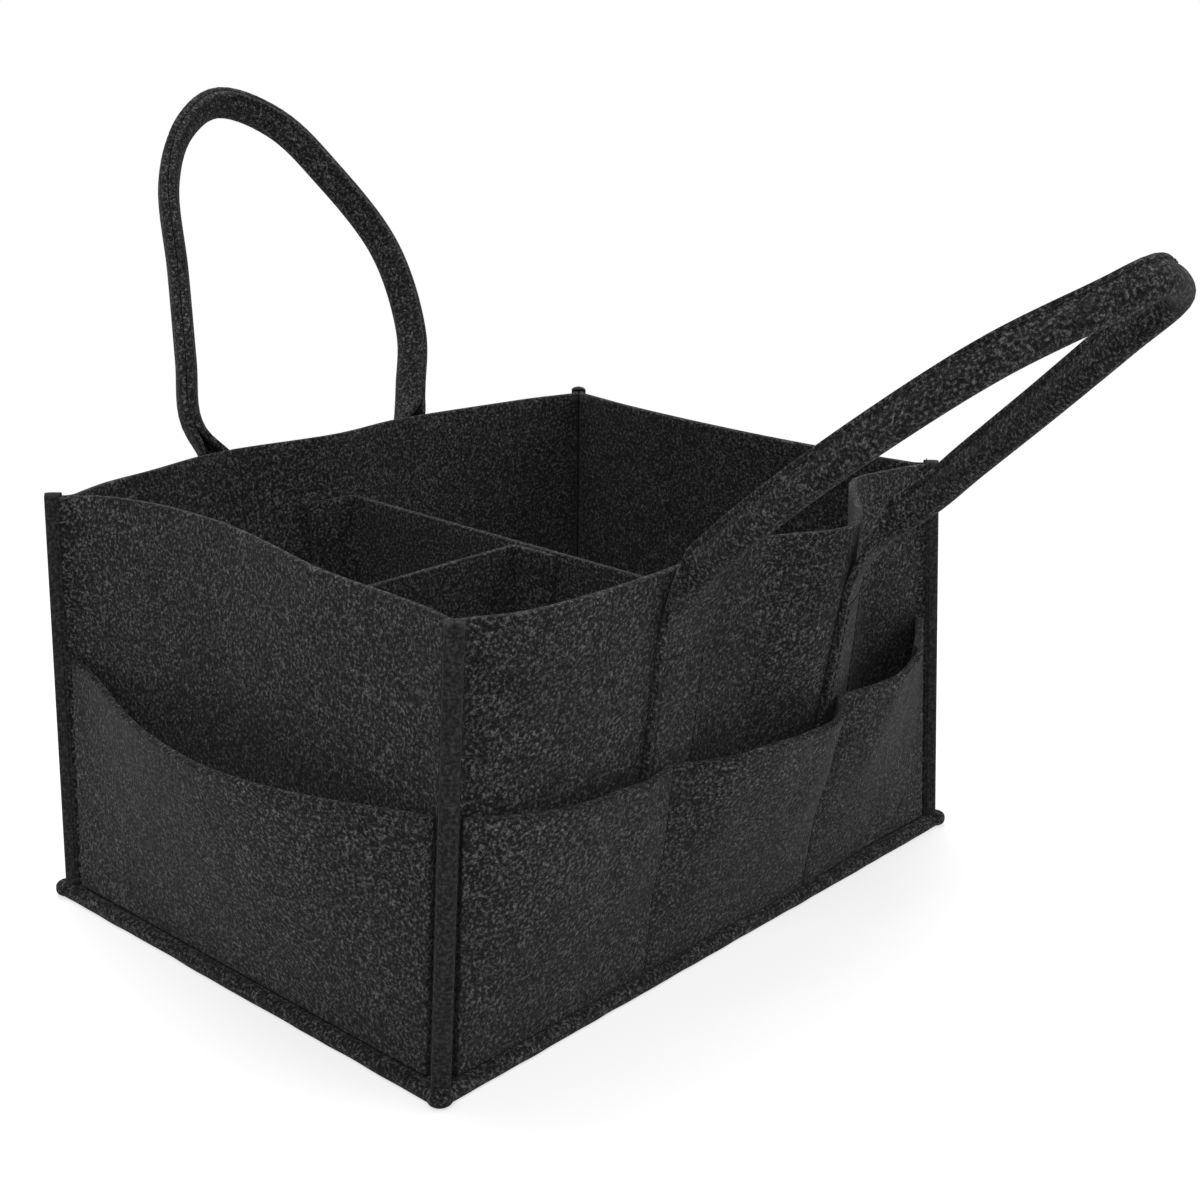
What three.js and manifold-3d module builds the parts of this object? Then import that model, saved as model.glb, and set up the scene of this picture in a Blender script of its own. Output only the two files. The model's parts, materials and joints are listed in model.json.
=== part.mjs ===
// A soft felt nursery caddy: four walls sewn to a base, pockets on every side,
// two strap handles sewn to the long walls, and a lift-out divider.
// Millimetres, +Z up. The origin is the middle of the base's underside. The
// front wall faces -Y and the left end wall faces -X.

import * as THREE from 'three';
import { mergeVertices } from 'three/addons/utils/BufferGeometryUtils.js';
import Module from 'manifold-3d';

// Felt body
const bodyLength = 322;
const bodyDepth = 227;
const rimHeight = 180;
const felt = 3;
const touch = 0.3;
const seamReach = 5.5;
const seamRound = 0.7;
const seamTipShare = 0.65;
const lipReach = 4.5;
const lipLift = 0.1;
const baseCorner = 3;
const lipEnd = 9;

// How far the rim of each corner stands inside its foot, along X and along Y
const frontLeftLeanX = 6.5;
const frontLeftLeanY = -1.5;
const frontRightLeanX = 8.3;
const frontRightLeanY = 8.9;
const rearRightLeanX = 6;
const rearRightLeanY = 3;
const rearLeftLeanX = 3.1;
const rearLeftLeanY = 0.5;

// How far each wall's rim bows out, and how far its middle rises
const frontBow = 34;
const rearBow = 20;
const leftBow = -13;
const rightBow = -8;
const leftCrown = 5.5;
const frontBowPower = 1;
const bowPower = 1.6;
const frontBowShares = [
  [0, 0], [0.055, 0.28], [0.12, 0.42], [0.24, 0.5], [0.5, 0.5], [0.56, 0.74], [0.6, 0.94],
  [0.64, 1], [0.7, 0.78], [0.76, 0.4], [0.82, 0], [0.87, -0.2], [0.93, -0.13], [1, 0],
];
const rearBowShares = [
  [0, 0], [0.1, 0.35], [0.35, 0.8], [0.5, 0.6], [0.71, 1], [0.85, 0.6], [0.93, 0.4], [1, 0],
];
const leftBowShares = [
  [0, 0], [0.04, 0.35], [0.13, 0.78], [0.23, 0.97], [0.37, 1], [0.56, 0.72], [0.66, 0.52],
  [0.87, 0.47], [0.94, 0.36], [1, 0],
];
const rightBowShares = [[0, 0], [0.2, 0.7], [0.5, 1], [0.8, 0.7], [1, 0]];

// Binding tape folded over each corner seam
const tape = 0.5;
const tapeStart = 1;
const tapeRound = 0.8;

// Pockets
const pocketHeight = 108;
const pocketInset = 1.6;
const pocketRest = 0.5;
const pocketLift = 1.2;
const frontRimDip = 8;
const endRimDip = 5;
const bulgePower = 1.2;
const frontBulges = [8, 22, 27];
const rearBulges = [10, 14, 10];
const leftBulges = [27];
const rightBulges = [15];
const frontStitchShares = [0.335, 0.678];
const rearStitchShares = [0.335, 0.665];
const frontRimShares = [[0, 0], [0.16, 0.5], [0.335, 1], [0.5, 0.75], [0.665, 0.8], [0.85, 0.4], [1, 0]];
const endRimShares = [[0, -0.6], [0.25, 0.8], [0.5, 1], [0.75, 0.7], [1, 0]];

// Handles: one felt strap each, flat where it is sewn on and folded double above
const strapWidth = 31.5;
const foldRadius = 3.3;
const foldTurnDegrees = 78;
const sideRadius = 9;
const notchRadius = 2;
const footBottom = 70;
const peelDrop = 32;
const hingeDrop = 6;
const hingeStandoff = 8;
const hingeGap = 3.4;
const foldStart = 6;
const foldLength = 14;
const footSpread = 109;
const frontFootOffset = 5.5;
const rearFootOffset = -6.5;
const frontLoopHeight = 178.1;
const rearLoopHeight = 170.9;
const frontLeanDegrees = 48.2;
const rearLeanDegrees = 30.8;
const frontTwistDegrees = 0;
const rearTwistDegrees = -28.5;
const frontSidewaysShare = 0.117;
const rearSidewaysShare = 0.087;
const armHeightShares = [0, 0.11, 0.27, 0.53, 0.78, 0.93, 1];
const frontLeftArmShares = [1, 1.075, 1.115, 1.025, 0.75, 0.26, 0];
const frontRightArmShares = [1, 1.075, 0.955, 0.795, 0.605, 0.48, 0];
const rearLeftArmShares = [1, 1.125, 1.02, 0.85, 0.7, 0.415, 0];
const rearRightArmShares = [1, 1.14, 1.33, 1.31, 0.9, 0.525, 0];
const bumpMargin = 3;
const bumpRamp = 9;

// Lift-out divider
const dividerHeight = 150;
const dividerX = 0;
const longDividerY = 4;
const tabWidth = 24;
const tabTurn = 3;
const hookTape = 1.2;
const hookWidth = 17;
const hookLow = 25;
const hookHigh = 135;

// Step of the wall's surface measured for its normal
const probe = 0.5;

// How finely each piece is divided
const wallRows = [0, 0.1, 0.26, 0.44, 0.62, 0.8, 0.92, 1];
const pocketRows = [0, 0.15, 0.36, 0.58, 0.8, 1];
const endColumns = 12;
const frontColumns = 28;
const rearColumns = 16;
const foldSteps = 5;
const loopSteps = 26;
const footSteps = 8;

const charcoal = '#2b2b2d';
const seamBlack = '#1d1d1f';
const hookBlack = '#17171a';

const up = new THREE.Vector3(0, 0, 1);
const wasm = await Module();
wasm.setup();

function smooth(t) {
  const held = THREE.MathUtils.clamp(t, 0, 1);
  return held * held * (3 - 2 * held);
}

// Height of a smooth curve through [place, value] shares
function throughShares(shares, place) {
  const last = shares.length - 1;
  let i = 0;
  while (i < last - 1 && place > shares[i + 1][0]) i += 1;
  const slope = (k) => {
    const a = shares[Math.max(k - 1, 0)];
    const b = shares[Math.min(k + 1, last)];
    return (b[1] - a[1]) / (b[0] - a[0]);
  };
  const [x0, y0] = shares[i];
  const [x1, y1] = shares[i + 1];
  const span = x1 - x0;
  const t = THREE.MathUtils.clamp((place - x0) / span, 0, 1);
  const rise = t * t * (3 - 2 * t);
  const enter = t * (1 - t) * (1 - t);
  const leave = t * t * (t - 1);
  return y0 + (y1 - y0) * rise + span * (slope(i) * enter + slope(i + 1) * leave);
}

function evenShares(count) {
  return Array.from({ length: count + 1 }, (_, i) => i / count);
}

// A closed solid from a grid of points on a sheet's middle surface. grid[i][j]
// runs along the sheet with i and up it with j, and thickness(i, j) is its full
// thickness there.
function sheetSolid(grid, thickness) {
  const columns = grid.length;
  const rows = grid[0].length;
  const step = (a, b) => b.clone().sub(a).normalize();
  const tangent = (before, here, after) => {
    const sum = new THREE.Vector3();
    if (before) sum.add(step(before, here));
    if (after) sum.add(step(here, after));
    return sum.normalize();
  };
  const positions = [];
  for (const side of [1, -1]) {
    for (let i = 0; i < columns; i += 1) {
      for (let j = 0; j < rows; j += 1) {
        const here = grid[i][j];
        const along = tangent(grid[i - 1]?.[j], here, grid[i + 1]?.[j]);
        const rise = tangent(grid[i][j - 1], here, grid[i][j + 1]);
        const normal = along.cross(rise).normalize();
        const p = here.clone().addScaledVector(normal, side * thickness(i, j) / 2);
        positions.push(p.x, p.y, p.z);
      }
    }
  }
  const back = columns * rows;
  const at = (i, j) => i * rows + j;
  const faces = [];
  const quad = (a, b, c, d) => faces.push(a, b, c, a, c, d);
  for (let i = 0; i < columns - 1; i += 1) {
    for (let j = 0; j < rows - 1; j += 1) {
      const corners = [at(i, j), at(i + 1, j), at(i + 1, j + 1), at(i, j + 1)];
      quad(...corners);
      quad(...corners.map((k) => k + back).reverse());
    }
  }
  const wall = (a, b) => quad(b, a, a + back, b + back);
  for (let i = 0; i < columns - 1; i += 1) {
    wall(at(i, 0), at(i + 1, 0));
    wall(at(i + 1, rows - 1), at(i, rows - 1));
  }
  for (let j = 0; j < rows - 1; j += 1) {
    wall(at(columns - 1, j), at(columns - 1, j + 1));
    wall(at(0, j + 1), at(0, j));
  }
  const geometry = new THREE.BufferGeometry();
  geometry.setAttribute('position', new THREE.Float32BufferAttribute(positions, 3));
  geometry.setIndex(faces);
  return geometry;
}

function evenSheet(grid, thickness) {
  return sheetSolid(grid, () => thickness);
}

function toSolid(geometry) {
  const bare = geometry.clone();
  bare.deleteAttribute('normal');
  bare.deleteAttribute('uv');
  const merged = mergeVertices(bare);
  const vertProperties = new Float32Array(merged.attributes.position.array);
  const triVerts = new Uint32Array(merged.index.array);
  return new wasm.Manifold(new wasm.Mesh({ numProp: 3, vertProperties, triVerts }));
}

function fromSolid(solid) {
  const mesh = solid.getMesh();
  const geometry = new THREE.BufferGeometry();
  geometry.setAttribute('position', new THREE.BufferAttribute(mesh.vertProperties, 3));
  geometry.setIndex(new THREE.BufferAttribute(mesh.triVerts, 1));
  return geometry;
}

// The corners of the body, as points that climb with height
function corner(sideX, sideY, leanX, leanY) {
  return (z) => new THREE.Vector3(
    sideX * (bodyLength / 2 - leanX * z / rimHeight),
    sideY * (bodyDepth / 2 - leanY * z / rimHeight),
    z,
  );
}

const frontLeft = corner(-1, -1, frontLeftLeanX, frontLeftLeanY);
const frontRight = corner(1, -1, frontRightLeanX, frontRightLeanY);
const rearRight = corner(1, 1, rearRightLeanX, rearRightLeanY);
const rearLeft = corner(-1, 1, rearLeftLeanX, rearLeftLeanY);

// From a corner to where a wall's sheet turns out into its seam
const layerOffset = (felt + touch) / 2;
const seamTurn = layerOffset * Math.SQRT2 + felt / 2;

// A wall between two corners. at(share, z, offset) is a point off its outer face.
function makeWall(start, end, bow, power, bowShares, crown = 0) {
  const along = end(0).sub(start(0)).normalize();
  const outward = along.clone().cross(up);
  const length = end(0).distanceTo(start(0)) - 2 * seamTurn;
  const outer = (share, z) => {
    const lean = Math.sign(z) * Math.abs(z / rimHeight) ** power;
    const a = start(z).addScaledVector(along, seamTurn);
    const b = end(z).addScaledVector(along, -seamTurn);
    const out = bow * throughShares(bowShares, share) * lean;
    return a.lerp(b, share).addScaledVector(outward, out);
  };
  const normal = (share, z) => {
    const side = probe / length;
    const across = outer(share + side, z).sub(outer(share - side, z));
    const rise = outer(share, z + probe).sub(outer(share, z - probe));
    return across.cross(rise).normalize();
  };
  const at = (share, z, offset) => outer(share, z).addScaledVector(normal(share, z), offset);
  const top = (share) => rimHeight + crown * throughShares(bowShares, share);
  const middle = start(0).lerp(end(0), 0.5);
  const shareOf = (place) => 0.5 + (place - middle.dot(along)) / length;
  return { start, end, along, outward, length, at, top, shareOf };
}

const frontWall = makeWall(frontLeft, frontRight, frontBow, frontBowPower, frontBowShares);
const rightWall = makeWall(frontRight, rearRight, rightBow, bowPower, rightBowShares);
const rearWall = makeWall(rearRight, rearLeft, rearBow, bowPower, rearBowShares);
const leftWall = makeWall(rearLeft, frontLeft, leftBow, bowPower, leftBowShares, leftCrown);

const wallBottom = felt + touch;
const lipTop = wallBottom + lipLift + felt;

// A point in the seam of a wall's end: reach out along the corner's diagonal
function seamPoint(wall, isStart, reach, z) {
  const toward = wall.along.clone().multiplyScalar(isStart ? 1 : -1);
  const diagonal = wall.outward.clone().sub(toward).normalize();
  const side = wall.outward.clone().add(toward).normalize();
  const point = (isStart ? wall.start : wall.end)(z);
  return point.addScaledVector(diagonal, reach).addScaledVector(side, layerOffset);
}

function wallGeometry(wall, columns) {
  const heights = (top) => wallRows.map((share) => THREE.MathUtils.lerp(wallBottom, top, share));
  const seam = (isStart, reach) => heights(rimHeight).map((z) => seamPoint(wall, isStart, reach, z));
  const face = (share) => heights(wall.top(share)).map((z) => wall.at(share, z, -felt / 2));
  const grid = [
    seam(true, seamReach),
    seam(true, seamReach - seamRound),
    ...evenShares(columns).map(face),
    seam(false, seamReach - seamRound),
    seam(false, seamReach),
  ];
  const isTip = (i) => i === 0 || i === grid.length - 1;
  const sheet = sheetSolid(grid, (i) => (isTip(i) ? felt * seamTipShare : felt));
  return fromSolid(toSolid(sheet).add(toSolid(lipGeometry(wall))));
}

// The foot of a wall, turned out and laid on the base's edge
function lipGeometry(wall) {
  const foot = lipReach + felt / 2;
  const strip = new THREE.BoxGeometry(wall.length + 2 * seamTurn - 2 * lipEnd, foot, felt);
  const middle = wall.start(0).lerp(wall.end(0), 0.5);
  middle.addScaledVector(wall.outward, lipReach - foot / 2);
  middle.z = wallBottom + lipLift + felt / 2;
  const turn = new THREE.Matrix4().makeBasis(wall.along, wall.outward.clone().negate(), up);
  turn.setPosition(middle);
  return strip.applyMatrix4(turn);
}

function baseGeometry() {
  const halfLength = bodyLength / 2 + lipReach;
  const halfDepth = bodyDepth / 2 + lipReach;
  const outline = new THREE.Shape();
  const turns = [[1, -1, -90], [1, 1, 0], [-1, 1, 90], [-1, -1, 180]];
  for (const [sideX, sideY, degrees] of turns) {
    const from = THREE.MathUtils.degToRad(degrees);
    const x = sideX * (halfLength - baseCorner);
    const y = sideY * (halfDepth - baseCorner);
    outline.absarc(x, y, baseCorner, from, from + Math.PI / 2, false);
  }
  return new THREE.ExtrudeGeometry(outline, { depth: felt, bevelEnabled: false, curveSegments: 4 });
}

// Tape folded over the seam between one wall's end and the next wall's start
function bindingGeometry(wall) {
  const diagonal = wall.outward.clone().add(wall.along).normalize();
  const across = wall.along.clone().sub(wall.outward).normalize();
  const half = felt + touch / 2 + touch + tape / 2;
  const reach = seamReach + touch + tape / 2;
  const path = [
    [-half, tapeStart], [-half, reach - tapeRound], [tapeRound - half, reach],
    [half - tapeRound, reach], [half, reach - tapeRound], [half, tapeStart],
  ];
  const heights = evenShares(4).map((share) => THREE.MathUtils.lerp(wallBottom, rimHeight, share));
  const grid = path.map(([side, out]) => heights.map((z) => wall.end(z)
    .addScaledVector(across, side)
    .addScaledVector(diagonal, out)));
  return evenSheet(grid, tape);
}

// How much of the handle foot's thickness a pocket panel rides over at a share
function footBump(wall, feet, share) {
  const reach = strapWidth / 2 + bumpMargin;
  const bumps = feet.map((place) => {
    const away = Math.abs(share - wall.shareOf(place)) * wall.length - reach;
    return 1 - smooth(away / bumpRamp);
  });
  return Math.max(0, ...bumps);
}

// One panel sewn over a wall along its ends and its stitch lines, open at the top
function pocketGeometry(wall, columns, pockets) {
  const { stitchShares, bulges, rimDip, rimShares, feet } = pockets;
  const first = pocketInset / wall.length;
  const ends = [first, ...stitchShares, 1 - first];
  const low = lipTop + pocketLift;
  const bulgeAt = (share) => {
    let k = 0;
    while (k < bulges.length - 1 && share > ends[k + 1]) k += 1;
    const within = (share - ends[k]) / (ends[k + 1] - ends[k]);
    return bulges[k] * Math.sin(Math.PI * THREE.MathUtils.clamp(within, 0, 1)) ** bulgePower;
  };
  const grid = evenShares(columns).map((part) => {
    const share = THREE.MathUtils.lerp(first, 1 - first, part);
    const top = pocketHeight - rimDip * throughShares(rimShares, share);
    const rest = pocketRest + felt / 2 + (felt + touch) * footBump(wall, feet, share);
    return pocketRows.map((row) => {
      const z = THREE.MathUtils.lerp(low, top, row);
      const gape = bulgeAt(share) * ((z - low) / (top - low)) ** bulgePower;
      return wall.at(share, z, rest + gape);
    });
  });
  return evenSheet(grid, felt);
}

// The strap's cross-section from its middle to one edge, as [length, curvature]
// runs: round the fold, down the full side, back round the notch, then along the
// sewn fin, where the two layers lie face to face.
function foldRuns() {
  const turn = THREE.MathUtils.degToRad(foldTurnDegrees);
  const reach = layerOffset + notchRadius + (sideRadius - foldRadius) * Math.sin(turn);
  const closing = Math.acos(reach / (sideRadius + notchRadius));
  const fold = foldRadius * turn;
  const side = sideRadius * (Math.PI / 2 + closing - turn);
  const notch = notchRadius * closing;
  return [
    { length: fold, curve: 1 / foldRadius, cuts: 2 },
    { length: side, curve: 1 / sideRadius, cuts: 2 },
    { length: notch, curve: -1 / notchRadius, cuts: 1 },
    { length: strapWidth / 2 - fold - side - notch, curve: 0, cuts: 1 },
  ];
}

// Half of the cross-section at a fold from 0, flat, to 1, closed: [across, rise]
function halfSection(fold) {
  const points = [[0, 0]];
  const finer = 6;
  let [x, y, heading] = [0, 0, 0];
  for (const run of foldRuns()) {
    const step = run.length / run.cuts / finer;
    for (let k = 1; k <= run.cuts * finer; k += 1) {
      const middle = heading + run.curve * fold * step / 2;
      x += Math.cos(middle) * step;
      y += Math.sin(middle) * step;
      heading += run.curve * fold * step;
      if (k % finer === 0) points.push([x, y]);
    }
  }
  return points;
}

function strapSection(fold) {
  const half = halfSection(fold);
  const mirrored = half.slice(1).reverse().map(([x, y]) => [-x, y]);
  return [...mirrored, ...half];
}

const hingeHeight = rimHeight - hingeDrop;
const peelHeight = rimHeight - peelDrop;

// A handle's places: its two feet, the hinge line that joins them, and the
// leaning frame that its loop is drawn in.
function makeHandle(wall, offset, loop, armShares) {
  const { height, leanDegrees, twistDegrees, sidewaysShare } = loop;
  const outSign = wall.outward.y;
  const feet = [offset - footSpread / 2, offset + footSpread / 2];
  const ends = feet.map((x) => {
    const across = evenShares(4).map((part) => (part - 0.5) * strapWidth);
    const place = (dx) => wall.at(wall.shareOf((x + dx) * wall.along.x), hingeHeight, 0);
    const furthest = Math.max(...across.map((dx) => place(dx).dot(wall.outward)));
    return new THREE.Vector3(x, outSign * (furthest + hingeStandoff), hingeHeight);
  });
  const sideways = ends[1].clone().sub(ends[0]).normalize();
  const out = sideways.clone().cross(up).multiplyScalar(-outSign);
  const lean = THREE.MathUtils.degToRad(leanDegrees);
  const rise = out.clone().multiplyScalar(Math.sin(lean)).addScaledVector(up, Math.cos(lean));
  const inner = up.clone().multiplyScalar(Math.sin(lean)).addScaledVector(out, -Math.cos(lean));
  const middle = ends[0].clone().lerp(ends[1], 0.5);
  const half = ends[1].distanceTo(ends[0]) / 2;
  const arm = (shares, side) => shares.map((wide, i) => [
    side * wide * half,
    armHeightShares[i] * height,
  ]);
  const leftArm = arm(armShares[0], -1);
  const rightArm = arm(armShares[1], 1).slice(0, -1).reverse();
  const points = [...leftArm, ...rightArm].map(([u, v]) => middle.clone()
    .addScaledVector(sideways, u + v * sidewaysShare)
    .addScaledVector(rise, v));
  const curve = new THREE.CatmullRomCurve3(points, false, 'centripetal');
  curve.arcLengthDivisions = 400;
  const twist = THREE.MathUtils.degToRad(twistDegrees);
  return { wall, feet, ends, sideways, rise, inner, twist, curve };
}

const frontLoop = {
  height: frontLoopHeight,
  leanDegrees: frontLeanDegrees,
  twistDegrees: frontTwistDegrees,
  sidewaysShare: frontSidewaysShare,
};
const rearLoop = {
  height: rearLoopHeight,
  leanDegrees: rearLeanDegrees,
  twistDegrees: rearTwistDegrees,
  sidewaysShare: rearSidewaysShare,
};
const frontHandle = makeHandle(
  frontWall, frontFootOffset, frontLoop, [frontLeftArmShares, frontRightArmShares],
);
const rearHandle = makeHandle(
  rearWall, rearFootOffset, rearLoop, [rearLeftArmShares, rearRightArmShares],
);

// How thick a strap's rounded end is, by its distance from where the round starts
function roundEnd(distance) {
  const radius = felt / 2;
  const held = THREE.MathUtils.clamp(distance / radius, 0, 1);
  return felt * Math.max(Math.sqrt(1 - held * held), 0.3);
}

const roundShares = [1, 0.75, 0.4];

function foldAt(length, total) {
  const fromEnd = Math.min(length, total - length);
  return smooth((fromEnd - foldStart) / foldLength);
}

// Centre of the loop at a length along its curve, with two directions: across the
// strap, which runs along the hinge at its flat ends and square to the curve where
// it is folded, and from the fold's back to its fin, which the twist turns with it.
function loopFrame(handle, length, total) {
  const held = THREE.MathUtils.clamp(length, 0, total);
  const fold = foldAt(length, total);
  const centre = handle.curve.getPointAt(held / total);
  const tangent = handle.curve.getTangentAt(held / total);
  centre.addScaledVector(tangent, length - held);
  const square = tangent.clone().cross(handle.inner).normalize();
  const side = Math.sign(square.dot(handle.sideways));
  const across = handle.sideways.clone().multiplyScalar(side);
  across.lerp(square, fold).normalize();
  const inner = handle.inner.clone();
  for (const direction of [across, inner]) {
    direction.applyAxisAngle(tangent, handle.twist * fold);
  }
  return { centre, across, inner };
}

function loopLengths(total) {
  const foldEnd = foldStart + foldLength;
  const caps = roundShares.map((share) => -share * felt / 2);
  const folding = evenShares(foldSteps).map((share) => share * foldEnd).slice(0, -1);
  const folded = evenShares(loopSteps).map((share) => THREE.MathUtils.lerp(foldEnd, total - foldEnd, share));
  const first = [...caps, ...folding];
  return [...first, ...folded, ...first.map((length) => total - length).reverse()];
}

function loopGeometry(handle) {
  const total = handle.curve.getLength();
  const lengths = loopLengths(total);
  const sections = lengths.map((length) => {
    const { centre, across, inner } = loopFrame(handle, length, total);
    return strapSection(foldAt(length, total)).map(([x, y]) => centre.clone()
      .addScaledVector(across, -x)
      .addScaledVector(inner, y));
  });
  const grid = sections[0].map((_, i) => sections.map((section) => section[i]));
  const overrun = (j) => Math.max(-lengths[j], lengths[j] - total, 0);
  return sheetSolid(grid, (i, j) => roundEnd(overrun(j)));
}

// The sewn end of a strap: flat on the wall, then peeling off to meet the loop
function footGeometry(handle, which) {
  const { wall } = handle;
  const end = handle.ends[which];
  const offset = touch + felt / 2;
  const top = hingeHeight - hingeGap;
  const cap = felt / 2;
  const heights = [
    ...evenShares(footSteps).map((share) => THREE.MathUtils.lerp(footBottom, top, share)),
    ...roundShares.map((share) => top + share * cap).reverse(),
  ];
  const grid = evenShares(4).map((part) => {
    const side = (part - 0.5) * strapWidth * wall.along.x;
    return heights.map((z) => {
      const x = end.x + side;
      const onWall = wall.at(wall.shareOf(x * wall.along.x), z, offset);
      const onHinge = end.clone().addScaledVector(handle.sideways, side);
      onHinge.z = z;
      const peel = Math.max(0, (z - peelHeight) / (hingeHeight - peelHeight)) ** 2;
      return onWall.lerp(onHinge, peel);
    });
  });
  return sheetSolid(grid, (i, j) => roundEnd(heights[j] - top));
}

// A sheet that follows a path in plan, climbing straight up
function uprightSheet(path, low, high, steps) {
  const heights = evenShares(steps).map((share) => THREE.MathUtils.lerp(low, high, share));
  const columns = path.map((place) => heights.map((z) => place(z)));
  return evenSheet(columns, felt);
}

const dividerBottom = felt + touch;
const tabOffset = -(felt + touch + hookTape + touch + felt / 2);

// Where the cross divider's tab stands inside a long wall
function tabPoint(wall, x, z) {
  return wall.at(wall.shareOf(x * wall.along.x), z, tabOffset);
}

function crossDividerGeometry() {
  const tab = (wall) => [
    (z) => tabPoint(wall, dividerX - tabWidth, z),
    (z) => tabPoint(wall, dividerX - tabWidth / 2, z),
    (z) => tabPoint(wall, dividerX - tabTurn, z),
  ];
  const inward = (wall) => (z) => {
    const point = tabPoint(wall, dividerX, z).addScaledVector(wall.outward, -tabTurn);
    return point.setX(dividerX);
  };
  const [frontTurn, rearTurn] = [inward(frontWall), inward(rearWall)];
  const web = [0.25, 0.5, 0.75].map((share) => (z) => frontTurn(z).lerp(rearTurn(z), share));
  const path = [...tab(frontWall), frontTurn, ...web, rearTurn, ...tab(rearWall).reverse()];
  return uprightSheet(path, dividerBottom, dividerHeight, 6);
}

// Middle of the long divider's left tab: clear of the left wall all the way up
function leftTabX() {
  const places = [0, 0.5, 1].map((part) => leftWall.shareOf(-(longDividerY + part * tabWidth)));
  const inside = places.map((share) => leftWall.at(share, leftWall.top(share), -felt).x);
  return Math.max(...inside) + touch + hookTape + touch + felt / 2;
}

function longDividerGeometry() {
  const left = leftTabX();
  const right = dividerX - felt - touch;
  const outline = [
    [left, longDividerY + tabWidth], [left, longDividerY + tabTurn],
    [left + tabTurn, longDividerY], [(left + right) / 2, longDividerY],
    [right - tabTurn, longDividerY], [right, longDividerY - tabTurn],
    [right, longDividerY - tabWidth],
  ];
  const path = outline.map(([x, y]) => (z) => new THREE.Vector3(x, y, z));
  return uprightSheet(path, dividerBottom, dividerHeight, 3);
}

// Hook tape sewn to the cross divider's tab, facing the wall
function hookOnWall(wall) {
  const margin = (tabWidth - hookWidth) / 2;
  const heights = evenShares(5).map((share) => THREE.MathUtils.lerp(hookLow, hookHigh, share));
  const grid = evenShares(2).map((part) => {
    const x = dividerX - margin - part * hookWidth;
    const share = wall.shareOf(x * wall.along.x);
    return heights.map((z) => wall.at(share, z, -(felt + touch + hookTape / 2)));
  });
  if (wall.along.x > 0) grid.reverse();
  return evenSheet(grid, hookTape);
}

function hookOnLeft() {
  const strip = new THREE.BoxGeometry(hookTape, hookWidth, hookHigh - hookLow);
  const x = leftTabX() - felt / 2 - touch - hookTape / 2;
  return strip.translate(x, longDividerY + tabWidth / 2, (hookLow + hookHigh) / 2);
}

const group = new THREE.Group();

function addPiece(name, geometry, color, roughness) {
  const material = new THREE.MeshStandardMaterial({ color, roughness, metalness: 0 });
  const mesh = new THREE.Mesh(geometry, material);
  mesh.name = name;
  group.add(mesh);
}

function addBody() {
  addPiece('base_panel', baseGeometry(), charcoal, 0.95);
  addPiece('front_wall', wallGeometry(frontWall, frontColumns), charcoal, 0.95);
  addPiece('rear_wall', wallGeometry(rearWall, rearColumns), charcoal, 0.95);
  addPiece('left_end_wall', wallGeometry(leftWall, endColumns), charcoal, 0.95);
  addPiece('right_end_wall', wallGeometry(rightWall, endColumns), charcoal, 0.95);
  const corners = {
    front_left: leftWall, front_right: frontWall, rear_right: rightWall, rear_left: rearWall,
  };
  for (const [name, wall] of Object.entries(corners)) {
    addPiece(`seam_binding_${name}`, bindingGeometry(wall), seamBlack, 0.8);
  }
}

function addPockets() {
  const front = {
    stitchShares: frontStitchShares,
    bulges: frontBulges,
    rimDip: frontRimDip,
    rimShares: frontRimShares,
    feet: frontHandle.feet,
  };
  const rear = {
    stitchShares: rearStitchShares,
    bulges: rearBulges,
    rimDip: frontRimDip,
    rimShares: frontRimShares,
    feet: rearHandle.feet.map((x) => -x),
  };
  const end = { stitchShares: [], rimDip: endRimDip, rimShares: endRimShares, feet: [] };
  const left = { ...end, bulges: leftBulges };
  const right = { ...end, bulges: rightBulges };
  addPiece('front_pocket_panel', pocketGeometry(frontWall, 30, front), charcoal, 0.95);
  addPiece('rear_pocket_panel', pocketGeometry(rearWall, 26, rear), charcoal, 0.95);
  addPiece('left_end_pocket', pocketGeometry(leftWall, 14, left), charcoal, 0.95);
  addPiece('right_end_pocket', pocketGeometry(rightWall, 12, right), charcoal, 0.95);
}

function addHandles() {
  for (const [name, handle] of Object.entries({ front: frontHandle, rear: rearHandle })) {
    addPiece(`${name}_handle_foot_left`, footGeometry(handle, 0), charcoal, 0.95);
    addPiece(`${name}_handle_foot_right`, footGeometry(handle, 1), charcoal, 0.95);
    addPiece(`${name}_handle_loop`, loopGeometry(handle), charcoal, 0.95);
  }
}

function addDivider() {
  addPiece('cross_divider', crossDividerGeometry(), charcoal, 0.95);
  addPiece('long_divider', longDividerGeometry(), charcoal, 0.95);
  addPiece('hook_tape_front', hookOnWall(frontWall), hookBlack, 0.7);
  addPiece('hook_tape_rear', hookOnWall(rearWall), hookBlack, 0.7);
  addPiece('hook_tape_left', hookOnLeft(), hookBlack, 0.7);
}

addBody();
addPockets();
addHandles();
addDivider();

export default group;
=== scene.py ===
# %% [markdown]
# # A soft felt nursery caddy
#
# The real object is cut from one stock: needle felt about 3 mm thick. Four walls
# are sewn to a flat base, a pocket panel is sewn over each wall, two long straps
# make the handles, and a loose divider stands inside.
#
# The scene is built the way the object is. Nearly every piece is a sheet of felt
# that lies on a surface described by a few sizes, so each piece fits the one below
# it. The frame, loaded first, holds the measured model that everything must match.

# %% Load the frame
import json
import math

import bmesh
import bpy
from mathutils import Matrix, Vector, noise

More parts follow.
